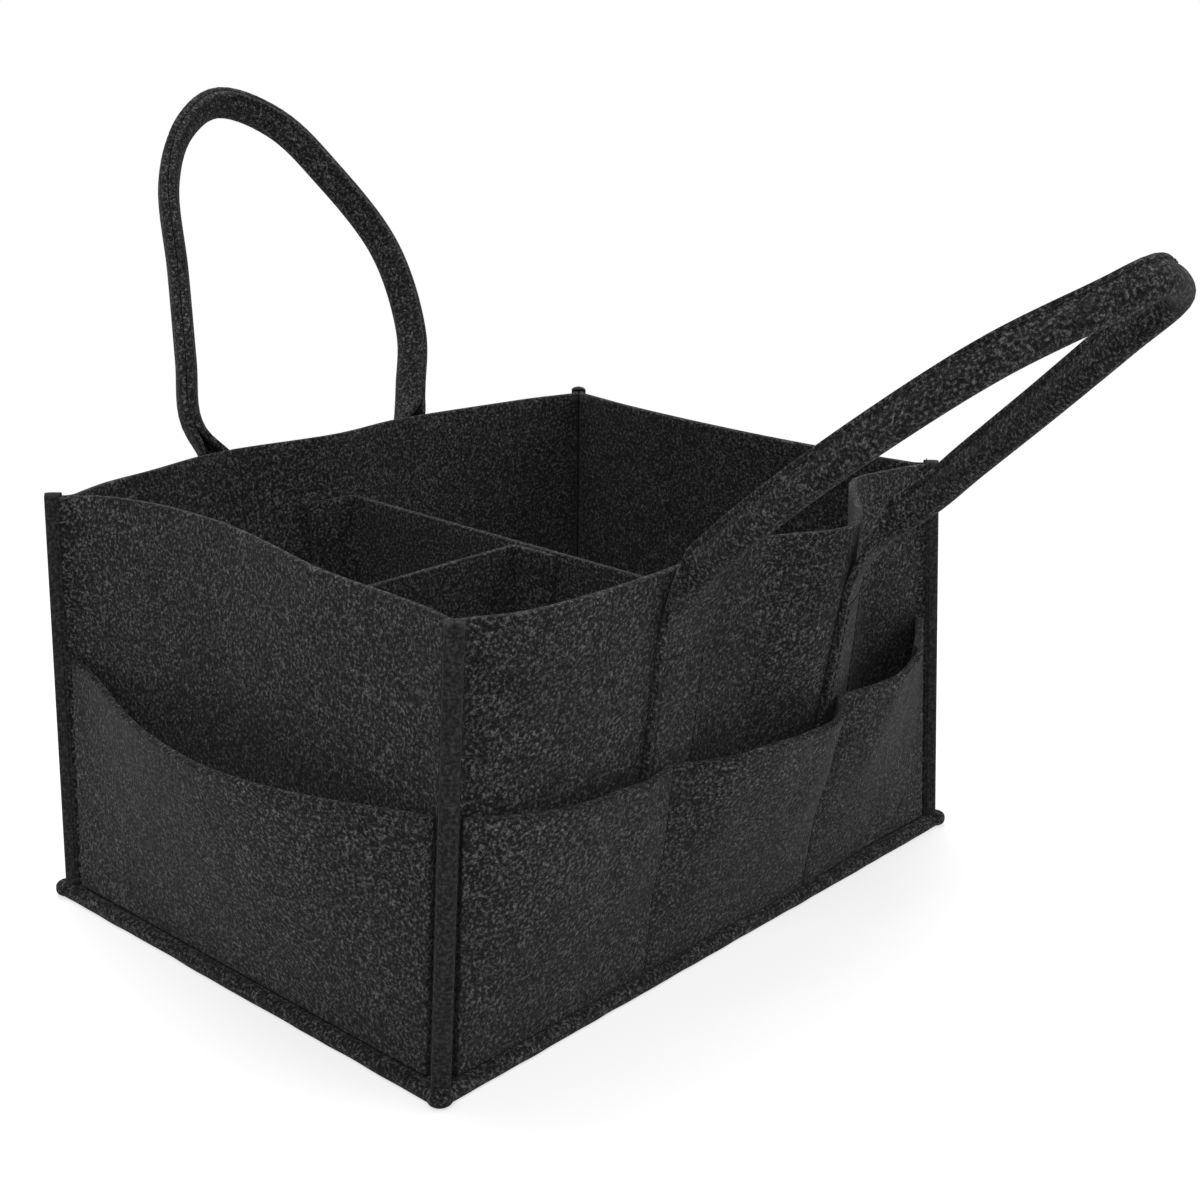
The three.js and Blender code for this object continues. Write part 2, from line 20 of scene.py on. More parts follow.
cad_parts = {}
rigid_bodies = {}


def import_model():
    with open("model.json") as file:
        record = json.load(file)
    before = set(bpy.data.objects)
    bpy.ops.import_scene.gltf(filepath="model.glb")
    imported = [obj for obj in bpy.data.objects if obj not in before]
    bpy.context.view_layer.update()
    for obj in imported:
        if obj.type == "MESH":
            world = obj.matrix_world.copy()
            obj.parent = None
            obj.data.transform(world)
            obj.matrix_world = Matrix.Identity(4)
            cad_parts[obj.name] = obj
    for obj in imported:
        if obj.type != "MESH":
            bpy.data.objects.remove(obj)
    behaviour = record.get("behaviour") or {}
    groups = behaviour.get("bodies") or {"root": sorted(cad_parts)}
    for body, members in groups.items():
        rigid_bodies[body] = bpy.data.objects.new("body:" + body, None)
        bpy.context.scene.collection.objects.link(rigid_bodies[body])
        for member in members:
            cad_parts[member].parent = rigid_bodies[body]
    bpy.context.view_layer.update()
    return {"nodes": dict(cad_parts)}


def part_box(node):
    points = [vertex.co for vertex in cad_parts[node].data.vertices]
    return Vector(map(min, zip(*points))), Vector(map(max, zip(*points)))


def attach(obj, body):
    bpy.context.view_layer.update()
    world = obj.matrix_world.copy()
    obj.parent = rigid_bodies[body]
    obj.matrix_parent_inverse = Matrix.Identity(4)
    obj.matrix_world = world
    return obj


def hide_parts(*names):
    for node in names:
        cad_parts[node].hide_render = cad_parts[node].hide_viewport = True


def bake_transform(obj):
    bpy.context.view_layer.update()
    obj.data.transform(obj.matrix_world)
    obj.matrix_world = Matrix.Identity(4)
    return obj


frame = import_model()

# %% [markdown]
# ## The camera
#
# The viewing angle is worked out from the corners of the base and the rim, which
# are straight lines on the real object. A camera is placed by three directions:
# right, up, and back from the subject. Writing them as the columns of a matrix is
# steadier than turning a camera by hand, because each one can be checked alone.

# %% Place the camera
VIEW_AZIMUTH = math.radians(-48.70)
VIEW_ELEVATION = math.radians(18.13)
VIEW_ROLL = math.radians(1.254)
VIEW_DISTANCE = 0.8585
VIEW_RIGHT = 0.0355
VIEW_UP = 0.1191
SENSOR_WIDTH = 36.0
FOCAL_LENGTH = 55.62


def new_object(name, data):
    """An object that shows the data, linked into the scene."""
    thing = bpy.data.objects.new(name, data)
    bpy.context.scene.collection.objects.link(thing)
    return thing


def camera_directions(azimuth, elevation, roll):
    level = math.cos(elevation)
    back = Vector((math.sin(azimuth) * level, -math.cos(azimuth) * level, math.sin(elevation)))
    right = Vector((math.cos(azimuth), math.sin(azimuth), 0))
    turn = Matrix.Rotation(roll, 3, back)
    return turn @ right, turn @ back.cross(right), back


def place_camera():
    right, up, back = camera_directions(VIEW_AZIMUTH, VIEW_ELEVATION, VIEW_ROLL)
    data = bpy.data.cameras.new("camera")
    data.sensor_width = SENSOR_WIDTH
    data.lens = FOCAL_LENGTH
    camera = new_object("camera", data)
    place = Matrix((right, up, back)).transposed().to_4x4()
    place.translation = back * VIEW_DISTANCE + right * VIEW_RIGHT + up * VIEW_UP
    camera.matrix_world = place
    bpy.context.scene.camera = camera
    return camera


camera = place_camera()
print("camera stands at", [round(v, 3) for v in camera.matrix_world.translation])

# %% [markdown]
# ## Sizes of the felt body
#
# These are the few sizes that drive the shape, in metres. The outside size comes
# from the base panel in the frame, so the scene can't drift away from the model.
# A bow is how far a wall's rim leans out of line; the felt slumps outwards at the
# long walls and inwards at the short ones.

# %% Sizes of the body
FELT = 0.003
TOUCH = 0.0003
RIM_HEIGHT = 0.180
LIP_REACH = 0.0045
SEAM_REACH = 0.0055
LAYER_OFFSET = (FELT + TOUCH) / 2
SEAM_TURN = LAYER_OFFSET * math.sqrt(2) + FELT / 2
FRONT_BOW_POWER = 1.0
BOW_POWER = 1.6
UP = Vector((0, 0, 1))

base_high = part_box("base_panel")[1]
HALF_LENGTH = base_high.x - LIP_REACH
HALF_DEPTH = base_high.y - LIP_REACH
print("body:", round(2 * HALF_LENGTH, 4), "by", round(2 * HALF_DEPTH, 4))

# %% [markdown]
# ## A smooth curve through a few shares
#
# The rim of each wall wanders in and out. Its line is kept as a handful of pairs:
# a place along the wall, and the share of the greatest bow there. A cubic curve
# through them gives a smooth rim from very few values, which is easier to correct
# by eye than a long list of points.

# %% Curve through shares
def through_shares(shares, place):
    last = len(shares) - 1
    i = 0
    while i < last - 1 and place > shares[i + 1][0]:
        i += 1

    def slope(k):
        a, b = shares[max(k - 1, 0)], shares[min(k + 1, last)]
        return (b[1] - a[1]) / (b[0] - a[0])

    (x0, y0), (x1, y1) = shares[i], shares[i + 1]
    span = x1 - x0
    t = min(max((place - x0) / span, 0), 1)
    ease = t * t * (3 - 2 * t)
    enter = t * (1 - t) * (1 - t) * slope(i)
    leave = t * t * (t - 1) * slope(i + 1)
    return y0 + (y1 - y0) * ease + span * (enter + leave)


def smooth_step(t):
    t = min(max(t, 0), 1)
    return t * t * (3 - 2 * t)


def even_shares(count):
    return [i / count for i in range(count + 1)]


print("halfway share:", through_shares([(0, 0), (1, 1)], 0.5))

# %% [markdown]
# ## The walls as surfaces
#
# A wall runs between two leaning corners. Its outer face is a plane that bows more
# and more towards the rim. Everything sewn to a wall asks that wall for a point at
# a share along it, a height, and a distance off its face, so the pockets and the
# handle feet follow each dip and swell of the felt under them. A faint ripple
# keeps the big faces from looking like board.

# %% Corners and walls
RIPPLE = 0.0009
RIPPLE_SCALE = 17.0
RIPPLE_EASE = 5.0
PROBE = 0.0005


def corner(side_x, side_y, lean_x, lean_y):
    def at(z):
        x = side_x * (HALF_LENGTH - lean_x * z / RIM_HEIGHT)
        y = side_y * (HALF_DEPTH - lean_y * z / RIM_HEIGHT)
        return Vector((x, y, z))

    return at


front_left = corner(-1, -1, 0.0065, -0.0015)
front_right = corner(1, -1, 0.0083, 0.0089)
rear_right = corner(1, 1, 0.006, 0.003)
rear_left = corner(-1, 1, 0.0031, 0.0005)


class Wall:
    def __init__(self, start, end, bow, bow_shares, crown=0.0, power=BOW_POWER):
        self.start, self.end = start, end
        self.bow, self.bow_shares, self.crown, self.power = bow, bow_shares, crown, power
        self.along = (end(0) - start(0)).normalized()
        self.outward = self.along.cross(UP)
        self.length = (end(0) - start(0)).length - 2 * SEAM_TURN
        self.middle = start(0).lerp(end(0), 0.5)

    def outer(self, share, z):
        a = self.start(z) + self.along * SEAM_TURN
        b = self.end(z) - self.along * SEAM_TURN
        climb = abs(z / RIM_HEIGHT) ** self.power * (1 if z > 0 else -1)
        point = a.lerp(b, share)
        out = self.bow * through_shares(self.bow_shares, share) * climb
        ease = smooth_step(RIPPLE_EASE * share) * smooth_step(RIPPLE_EASE * (1 - share))
        ease *= smooth_step(z / RIM_HEIGHT)
        out += RIPPLE * ease * noise.noise(point * RIPPLE_SCALE)
        return point + self.outward * out

    def normal(self, share, z):
        side = PROBE / self.length
        across = self.outer(share + side, z) - self.outer(share - side, z)
        rise = self.outer(share, z + PROBE) - self.outer(share, z - PROBE)
        return across.cross(rise).normalized()

    def at(self, share, z, offset):
        return self.outer(share, z) + self.normal(share, z) * offset

    def top(self, share):
        return RIM_HEIGHT + self.crown * through_shares(self.bow_shares, share)

    def share_of(self, place):
        return 0.5 + (place - self.middle.dot(self.along)) / self.length

    def at_x(self, x, z, offset):
        return self.at(self.share_of(x * self.along.x), z, offset)


front_wall = Wall(front_left, front_right, 0.034, [
    (0, 0), (0.055, 0.28), (0.12, 0.42), (0.24, 0.5), (0.5, 0.5), (0.56, 0.74), (0.6, 0.94),
    (0.64, 1), (0.7, 0.78), (0.76, 0.4), (0.82, 0), (0.87, -0.2), (0.93, -0.13), (1, 0),
], power=FRONT_BOW_POWER)
right_wall = Wall(front_right, rear_right, -0.008, [
    (0, 0), (0.2, 0.7), (0.5, 1), (0.8, 0.7), (1, 0),
])
rear_wall = Wall(rear_right, rear_left, 0.020, [
    (0, 0), (0.1, 0.35), (0.35, 0.8), (0.5, 0.6), (0.71, 1), (0.85, 0.6), (0.93, 0.4), (1, 0),
])
left_wall = Wall(rear_left, front_left, -0.013, [
    (0, 0), (0.03, 0.27), (0.11, 0.58), (0.21, 0.76), (0.31, 0.82), (0.42, 0.77), (0.54, 0.55),
    (0.65, 0.32), (0.75, 0.22), (0.85, 0.18), (0.94, 0.11), (1, 0),
], crown=0.0055)
print("front wall is", round(front_wall.length, 4), "long between its seams")

# %% [markdown]
# ## Heathered felt
#
# Needle felt is a mat of short fibres in several greys. From a step away it looks
# like dark charcoal with paler flecks about a millimetre across, which lie every
# way and leave dark gaps between them. The flecks are one noise with a steep ramp,
# and a finer noise for single fibres is laid over them by multiplying, because
# mixing two noises would average their contrast away. Two slow noises darken
# whole patches the same way. The fleck and fibre noises also drive a bump, so a
# fleck catches light as a raised fibre does. Wool-like fuzz scatters light at the
# edges, which is what sheen is for.

# %% Felt material
FLECK_SIZE = 0.0014
GRAIN_SIZE = 0.0008
CLOUD_SIZE = 0.012
DRIFT_SIZE = 0.06


def add_noise(tree, place, size, detail, rough, distortion=0.0):
    node = tree.nodes.new("ShaderNodeTexNoise")
    node.inputs["Scale"].default_value = 1 / size
    node.inputs["Detail"].default_value = detail
    node.inputs["Roughness"].default_value = rough
    node.inputs["Distortion"].default_value = distortion
    tree.links.new(place, node.inputs["Vector"])
    return node.outputs["Fac"]


def add_ramp(tree, value, stops):
    ramp = tree.nodes.new("ShaderNodeValToRGB")
    tree.links.new(value, ramp.inputs["Fac"])
    elements = ramp.color_ramp.elements
    for element, (place, color) in zip(elements, stops):
        element.position, element.color = place, color
    for place, color in stops[2:]:
        elements.new(place).color = color
    return ramp.outputs["Color"]


def add_mix(tree, a, b, share, blend="MIX"):
    mix = tree.nodes.new("ShaderNodeMix")
    mix.data_type = "RGBA"
    mix.blend_type = blend
    mix.inputs["Factor"].default_value = share
    tree.links.new(a, mix.inputs["A"])
    tree.links.new(b, mix.inputs["B"])
    return mix.outputs["Result"]


def grey(level):
    return (level, level, level, 1)


def new_material(name, roughness):
    material = bpy.data.materials.new(name)
    material.use_nodes = True
    shader = material.node_tree.nodes["Principled BSDF"]
    shader.inputs["Roughness"].default_value = roughness
    return material, material.node_tree, shader


def add_bump(tree, shader, height, strength, distance):
    bump = tree.nodes.new("ShaderNodeBump")
    bump.inputs["Strength"].default_value = strength
    bump.inputs["Distance"].default_value = distance
    tree.links.new(height, bump.inputs["Height"])
    tree.links.new(bump.outputs["Normal"], shader.inputs["Normal"])


def felt_material(name, dark, middle, pale):
    material, tree, shader = new_material(name, 0.95)
    place = tree.nodes.new("ShaderNodeTexCoord").outputs["Object"]
    fleck = add_noise(tree, place, FLECK_SIZE, 3, 0.7)
    felt = add_ramp(tree, fleck, [(0.36, grey(dark)), (0.70, grey(pale)), (0.50, grey(middle))])
    grain = add_noise(tree, place, GRAIN_SIZE, 1, 0.5, 0.5)
    shades = [(grain, 0.4, 0.35, 0.62)]
    shades += [(add_noise(tree, place, CLOUD_SIZE, 2, 0.5), 0.8, 0.35, 0.65)]
    shades += [(add_noise(tree, place, DRIFT_SIZE, 2, 0.5), 0.85, 0.35, 0.65)]
    for value, low, start, end in shades:
        shade = add_ramp(tree, value, [(start, grey(low)), (end, grey(1.0))])
        felt = add_mix(tree, felt, shade, 1.0, "MULTIPLY")
    tree.links.new(felt, shader.inputs["Base Color"])
    shader.inputs["Sheen Weight"].default_value = 0.03
    shader.inputs["Sheen Roughness"].default_value = 0.6
    shader.inputs["Specular IOR Level"].default_value = 0.08
    add_bump(tree, shader, add_mix(tree, fleck, grain, 0.4), 0.9, 0.0008)
    return material


charcoal_felt = felt_material("charcoal_felt", 0.002, 0.013, 0.125)
print("felt flecks are", FLECK_SIZE, "m across")

# %% [markdown]
# ## Tape and thread
#
# The corner seams are bound with a narrow woven tape. It is smoother and darker
# than the felt, with fine ribs across it. The sewing thread is a plain twisted
# black. Both are small in the picture, so one noise for the colour and a wave for
# the ribs are enough for them to read as cloth and not as plastic.

# %% Tape, thread and hook materials
RIB_PITCH = 0.0007


def ribbed_material(name, level, roughness, pitch):
    material, tree, shader = new_material(name, roughness)
    place = tree.nodes.new("ShaderNodeTexCoord").outputs["Object"]
    rib = tree.nodes.new("ShaderNodeTexWave")
    rib.bands_direction = "Z"
    rib.inputs["Scale"].default_value = 1 / pitch / math.tau
    rib.inputs["Distortion"].default_value = 1.5
    tree.links.new(place, rib.inputs["Vector"])
    grain = add_noise(tree, place, FLECK_SIZE, 3, 0.7)
    stops = [(0.36, grey(level * 0.3)), (0.68, grey(level * 3)), (0.5, grey(level))]
    tree.links.new(add_ramp(tree, grain, stops), shader.inputs["Base Color"])
    shader.inputs["Specular IOR Level"].default_value = 0.12
    shader.inputs["Sheen Weight"].default_value = 0.02
    add_bump(tree, shader, add_mix(tree, rib.outputs["Fac"], grain, 0.5), 0.5, 0.0002)
    return material


seam_tape = ribbed_material("seam_tape", 0.009, 0.9, RIB_PITCH)
black_thread = ribbed_material("black_thread", 0.006, 0.7, RIB_PITCH / 2)
hook_tape = ribbed_material("hook_tape", 0.009, 0.6, RIB_PITCH * 2)
print("tape, thread and hook materials are ready")

# %% [markdown]
# ## From a grid of points to a sheet of felt
#
# Nearly every felt piece starts as a grid of points on the middle of the sheet.
# Blender's Solidify modifier gives it its 3 mm, and a Bevel modifier takes the
# sharpness off the cut edges. Modelling the two faces by hand would double the
# work and let the thickness drift.

# %% Sheet helper
CUT_ROUND = 0.0006
BEVEL_ANGLE = math.radians(55)


def grid_object(name, grid):
    columns, rows = len(grid), len(grid[0])
    points = [point for column in grid for point in column]
    faces = [
        (i * rows + j, (i + 1) * rows + j, (i + 1) * rows + j + 1, i * rows + j + 1)
        for i in range(columns - 1)
        for j in range(rows - 1)
    ]
    mesh = bpy.data.meshes.new(name)
    mesh.from_pydata(points, [], faces)
    return new_object(name, mesh)


def run_length(points):
    return sum((b - a).length for a, b in zip(points, points[1:]))


def bake_modifiers(piece):
    graph = bpy.context.evaluated_depsgraph_get()
    mesh = bpy.data.meshes.new_from_object(piece.evaluated_get(graph))
    piece.modifiers.clear()
    piece.data = mesh


def make_sheet(name, grid, material, thickness=FELT, cut_round=CUT_ROUND):
    piece = grid_object(name, grid)
    solid = piece.modifiers.new("thickness", "SOLIDIFY")
    solid.thickness = thickness
    solid.offset = 0
    solid.use_even_offset = True
    edge = piece.modifiers.new("cut_edge", "BEVEL")
    edge.width = cut_round
    edge.segments = 2
    edge.limit_method = "ANGLE"
    edge.angle_limit = BEVEL_ANGLE
    bake_modifiers(piece)
    piece.data.materials.append(material)
    piece.data.shade_smooth()
    return piece


def join_pieces(main, *others):
    """Put the meshes of other sheets into one piece, in the same frame."""
    together = bmesh.new()
    for piece in (main, *others):
        together.from_mesh(piece.data)
    together.to_mesh(main.data)
    together.free()
    main.data.shade_smooth()
    for piece in others:
        bpy.data.objects.remove(piece)
    return main


print("sheets have cut edges rounded by", CUT_ROUND, "m")

# %% [markdown]
# ## Thread
#
# A row of lockstitch shows as short raised threads with gaps where the thread
# dives through the felt. One curve object holds a whole seam: each stitch is its
# own four-point spline, and the curve's bevel depth gives the thread its
# thickness. That is far lighter than modelling each stitch as a mesh.

# %% Stitch helper
STITCH_PITCH = 0.0042
STITCH_LENGTH = 0.0031
THREAD_RADIUS = 0.00027
THREAD_LIFT = 0.00028
STITCH_ARCH = [(-1, -0.6), (-0.6, 1), (0.6, 1), (1, -0.6)]


def spaced_places(path, pitch):
    """Points along a path of (point, normal) pairs, a pitch apart."""
    places = []
    due = pitch / 2
    walked = 0.0
    for (a, normal_a), (b, normal_b) in zip(path, path[1:]):
        step = (b - a).length
        while step > 0 and due <= walked + step:
            t = (due - walked) / step
            ahead = (b - a) / step
            places.append((a.lerp(b, t), normal_a.lerp(normal_b, t).normalized(), ahead))
            due += pitch
        walked += step
    return places


def sew(name, paths, body):
    curve = bpy.data.curves.new(name, "CURVE")
    curve.dimensions = "3D"
    curve.bevel_depth = THREAD_RADIUS
    curve.bevel_resolution = 1
    curve.use_fill_caps = True
    half = STITCH_LENGTH / 2
    for path in paths:
        for place, normal, ahead in spaced_places(path, STITCH_PITCH):
            spline = curve.splines.new("POLY")
            spline.points.add(len(STITCH_ARCH) - 1)
            for point, (along, lift) in zip(spline.points, STITCH_ARCH):
                where = place + ahead * half * along + normal * THREAD_LIFT * lift
                point.co = (*where, 1)
    piece = new_object(name, curve)
    curve.materials.append(black_thread)
    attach(piece, body)
    print(name, "has", len(curve.splines), "stitches")


# %% [markdown]
# ## The base
#
# The base is a flat felt rectangle, cut a few millimetres larger than the body. It
# and the turned-out feet of the walls are sewn together all round, which leaves
# the ridge that runs along the bottom edge. The caddy rests on this sheet, so it
# stays flat: one face with a thickness is enough. At each corner the layers bunch
# up into a small nub. A pressed ball shows that better than folds would, because
# the felt is too thick there to show any.

# %% Base panel
BASE_CORNER = 0.003
BASE_ROUND_STEPS = 5
NUB_OUT = 0.0044
NUB_RADIUS = 0.0050
NUB_HEIGHT = 0.0070


def base_outline():
    """Corner-rounded rectangle, as points round the edge."""
    points = []
    for side_x, side_y, start in ((1, -1, -90), (1, 1, 0), (-1, 1, 90), (-1, -1, 180)):
        centre = Vector((
            side_x * (base_high.x - BASE_CORNER),
            side_y * (base_high.y - BASE_CORNER),
            0,
        ))
        for share in even_shares(BASE_ROUND_STEPS):
            angle = math.radians(start + 90 * share)
            points.append(centre + Vector((math.cos(angle), math.sin(angle), 0)) * BASE_CORNER)
    return points


def make_base():
    outline = base_outline()
    mesh = bpy.data.meshes.new("felt_base")
    middle = UP * FELT / 2
    mesh.from_pydata([point + middle for point in outline], [], [tuple(range(len(outline)))])
    piece = new_object("felt_base", mesh)
    solid = piece.modifiers.new("thickness", "SOLIDIFY")
    solid.thickness = FELT
    solid.offset = 0
    edge = piece.modifiers.new("cut_edge", "BEVEL")
    edge.width = CUT_ROUND
    edge.segments = 2
    bake_modifiers(piece)
    piece.data.materials.append(charcoal_felt)
    return piece


def make_nub(side_x, side_y):
    """The gathered corner of the ridge: a ball pressed flat and a little square."""
    nub = bmesh.new()
    bmesh.ops.create_uvsphere(nub, u_segments=28, v_segments=14, radius=1)
    for vertex in nub.verts:
        level = abs(vertex.co.z)
        swell = (1 - level**3) ** 0.5 / max((1 - level**2) ** 0.5, 0.001)
        vertex.co.x = side_x * (HALF_LENGTH + NUB_OUT) + vertex.co.x * swell * NUB_RADIUS
        vertex.co.y = side_y * (HALF_DEPTH + NUB_OUT) + vertex.co.y * swell * NUB_RADIUS
        vertex.co.z = (1 + vertex.co.z) * NUB_HEIGHT / 2
    mesh = bpy.data.meshes.new("nub")
    nub.to_mesh(mesh)
    nub.free()
    return new_object("nub", mesh)


nubs = [make_nub(side_x, side_y) for side_x in (-1, 1) for side_y in (-1, 1)]
felt_base = join_pieces(make_base(), *nubs)
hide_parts("base_panel")
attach(felt_base, "caddy_body")
print("base panel:", [round(v, 3) for v in felt_base.dimensions])

# %% [markdown]
# ## The walls
#
# Each wall is one sheet. Seen from above, its path runs in from the tip of one
# corner seam, round a soft bend, along the wall, and out to the next seam. The
# bend is a quadratic curve between the seam and the wall, because 3 mm felt can't
# fold sharply. Its foot is turned out and rolls down over the base's edge, as a
# separate strip in the same piece. From outside that roll is the rounded ridge
# along the bottom. Hand sewing leaves it a little uneven, so a slow noise moves it.

# %% Wall sheets
WALL_BOTTOM = FELT + TOUCH
LIP_LIFT = 0.0001
LIP_END = -0.002
SEAM_LINE = 0.0022
SEAM_DIP = 0.0006
GROOVE = [
    (-FELT / 2, 0), (0, 0), (0.001, SEAM_DIP / 2), (SEAM_LINE, SEAM_DIP), (0.0033, SEAM_DIP / 2),
]
ROLL_TURNS = [75, 50, 25, 0]
ROLL_RADIUS = 0.0022
ROLL_OUT = LIP_REACH + TOUCH + FELT / 2
ROLL_BOTTOM = 0.0009
ROLL_WANDER = 0.0005
ROLL_WANDER_SIZE = 0.014
SEAM_INNER = 0.0005
BEND_RUN = 0.0032
WALL_STEP = 0.003
WALL_ROWS = 38


def seam_point(wall, is_start, reach, z):
    toward = wall.along if is_start else -wall.along
    diagonal = (wall.outward - toward).normalized()
    side = (wall.outward + toward).normalized()
    point = wall.start(z) if is_start else wall.end(z)
    return point + diagonal * reach + side * LAYER_OFFSET


def bend_point(wall, is_start, t, z):
    share = BEND_RUN / wall.length
    on_wall = wall.at(share if is_start else 1 - share, z, -FELT / 2)
    elbow = wall.at(0 if is_start else 1, z, -FELT / 2)
    on_seam = seam_point(wall, is_start, BEND_RUN - SEAM_TURN * 1.02, z)
    return on_seam.lerp(elbow, t).lerp(elbow.lerp(on_wall, t), t)


def wall_grid(wall):
    run = BEND_RUN / wall.length
    columns = round(wall.length / WALL_STEP)
    shares = [run + (1 - 2 * run) * share for share in even_shares(columns)]
    reaches = [SEAM_REACH, SEAM_REACH / 2, SEAM_INNER]
    bends = [0.1, 0.3, 0.5, 0.7, 0.9]
    levels = even_shares(WALL_ROWS)

    def column(place, top=RIM_HEIGHT):
        return [place(WALL_BOTTOM + (top - WALL_BOTTOM) * level) for level in levels]

    grid = [column(lambda z, r=r: seam_point(wall, True, r, z)) for r in reaches]
    grid += [column(lambda z, t=t: bend_point(wall, True, t, z)) for t in bends]
    grid += [column(lambda z, s=s: wall.at(s, z, -FELT / 2), wall.top(s)) for s in shares]
    grid += [column(lambda z, t=t: bend_point(wall, False, t, z)) for t in reversed(bends)]
    grid += [column(lambda z, r=r: seam_point(wall, False, r, z)) for r in reversed(reaches)]
    return grid


def lip_profile():
    """Middle of the foot in section, as (out, height): flat, dipped, rolled down."""
    height = WALL_BOTTOM + LIP_LIFT + FELT / 2
    profile = [(out, height - dip) for out, dip in GROOVE]
    for degrees in ROLL_TURNS:
        turn = math.radians(degrees)
        out = ROLL_OUT - ROLL_RADIUS * (1 - math.cos(turn))
        profile.append((out, height - ROLL_RADIUS * (1 - math.sin(turn))))
    return profile + [(ROLL_OUT, ROLL_BOTTOM)]


def lip_grid(wall):
    """The foot of the wall, turned out and rolled over the base's edge."""
    full = wall.length + 2 * SEAM_TURN
    profile = lip_profile()
    grid = []
    for share in even_shares(round(full / WALL_STEP)):
        start = wall.start(0) + wall.along * (LIP_END + (full - 2 * LIP_END) * share)
        wander = noise.noise(start / ROLL_WANDER_SIZE) * ROLL_WANDER
        grid.append([
            start + wall.outward * (out + wander * max(out, 0) / ROLL_OUT) + UP * height
            for out, height in profile
        ])
    return grid


def make_wall(name, wall, node):
    sheet = make_sheet(name, wall_grid(wall), charcoal_felt)
    lip = make_sheet(name + "_lip", lip_grid(wall), charcoal_felt)
    piece = join_pieces(sheet, lip)
    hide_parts(node)
    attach(piece, "caddy_body")
    print(name, "has", len(piece.data.polygons), "faces")


make_wall("felt_wall_front", front_wall, "front_wall")
make_wall("felt_wall_rear", rear_wall, "rear_wall")
make_wall("felt_wall_left", left_wall, "left_end_wall")
make_wall("felt_wall_right", right_wall, "right_end_wall")

# %% [markdown]
# ## Sewing the base to the walls
#
# One row of stitches runs along the top of the ridge, in the groove they pull
# down between the wall and the roll. The groove is part of the ridge's profile, so
# the stitches only need its line and its depth.

# %% Base seam stitches
def base_seam(wall):
    full = wall.length + 2 * SEAM_TURN
    height = WALL_BOTTOM + LIP_LIFT + FELT - SEAM_DIP
    ends = (SEAM_REACH, full - SEAM_REACH)
    return [
        (wall.start(0) + wall.along * place + wall.outward * SEAM_LINE + UP * height, UP)
        for place in ends
    ]


sew(
    "base_stitches",
    [base_seam(wall) for wall in (front_wall, right_wall, rear_wall, left_wall)],
    "caddy_body",
)

# %% [markdown]
# ## Corner binding
#
# At each corner the ends of two walls are pressed together and a narrow tape is
# folded over both. Face on, it reads as a smooth dark band with a shadow line on
# each side. Its outline in plan is a rounded U; here that U is swept up the
# leaning corner. It ends on the ridge's nub, and its top is closed like a lid.

# %% Corner bindings
TAPE = 0.0007
TAPE_START = 0.0004
TAPE_BOTTOM = 0.0060
TAPE_ROWS = 30
TAPE_HALF = 0.0033
TAPE_LEG = 0.0015
TAPE_ROUND = 0.0016
TAPE_TURNS = 4
LID = [(0.8, 0.0005), (0.4, 0.0008), (0.03, 0.0009)]


def tape_outline():
    """Half-width and reach of the U, from one leg round to the other."""
    half = TAPE_HALF
    reach = SEAM_REACH + TOUCH + TAPE / 2
    straight = reach - TAPE_ROUND
    legs = [(-half, TAPE_START), (-half, TAPE_START + TAPE_LEG), (-half, straight)]
    turn = []
    for share in even_shares(TAPE_TURNS):
        angle = math.radians(180 - 90 * share)
        turn.append((
            -half + TAPE_ROUND + TAPE_ROUND * math.cos(angle),
            straight + TAPE_ROUND * math.sin(angle),
        ))
    left = legs + turn[1:]
    right = [(-side, out) for side, out in reversed(left)]
    return left + [(0, reach)] + right


def corner_directions(wall):
    """Out along the seam at the wall's end, and across it."""
    return (wall.outward + wall.along).normalized(), (wall.along - wall.outward).normalized()


def binding_grid(wall):
    diagonal, across = corner_directions(wall)
    top = RIM_HEIGHT + TAPE / 2
    levels = [(1, TAPE_BOTTOM + (top - TAPE_BOTTOM) * share) for share in even_shares(TAPE_ROWS)]
    levels += [(shrink, top + lift) for shrink, lift in LID]
    rows = [
        [wall.end(z) + across * side * shrink + diagonal * out for side, out in tape_outline()]
        for shrink, z in levels
    ]
    return [[row[i] for row in rows] for i in range(len(rows[0]))]


def binding_seams(wall):
    diagonal, across = corner_directions(wall)
    half = TAPE_HALF + TAPE / 2
    line = TAPE_START + TAPE_ROUND
    low, high = TAPE_BOTTOM + STITCH_PITCH, RIM_HEIGHT
    return [
        [(wall.end(z) + across * half * side + diagonal * line, across * side) for z in (low, high)]
        for side in (-1, 1)
    ]


def make_binding(name, wall):
    piece = make_sheet("tape_" + name, binding_grid(wall), seam_tape, TAPE, TAPE / 3)
    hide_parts("seam_binding_" + name)
    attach(piece, "caddy_body")
    width = run_length([Vector(point) for point in tape_outline()])


CORNERS = {
    "front_left": left_wall,
    "front_right": front_wall,
    "rear_right": right_wall,
    "rear_left": rear_wall,
}
for name, wall in CORNERS.items():
    make_binding(name, wall)
sew(
    "binding_stitches",
    [seam for wall in CORNERS.values() for seam in binding_seams(wall)],
    "caddy_body",
)

# %% [markdown]
# ## The pockets
#
# A pocket panel is sewn over each wall at its ends, along its bottom and, on the
# long walls, down two lines that part it into three. Between those lines the felt
# stands off the wall, more and more towards its open rim, because the pockets have
# been used. The panel is described the same way: it asks the wall for a point, and
# adds its gape.

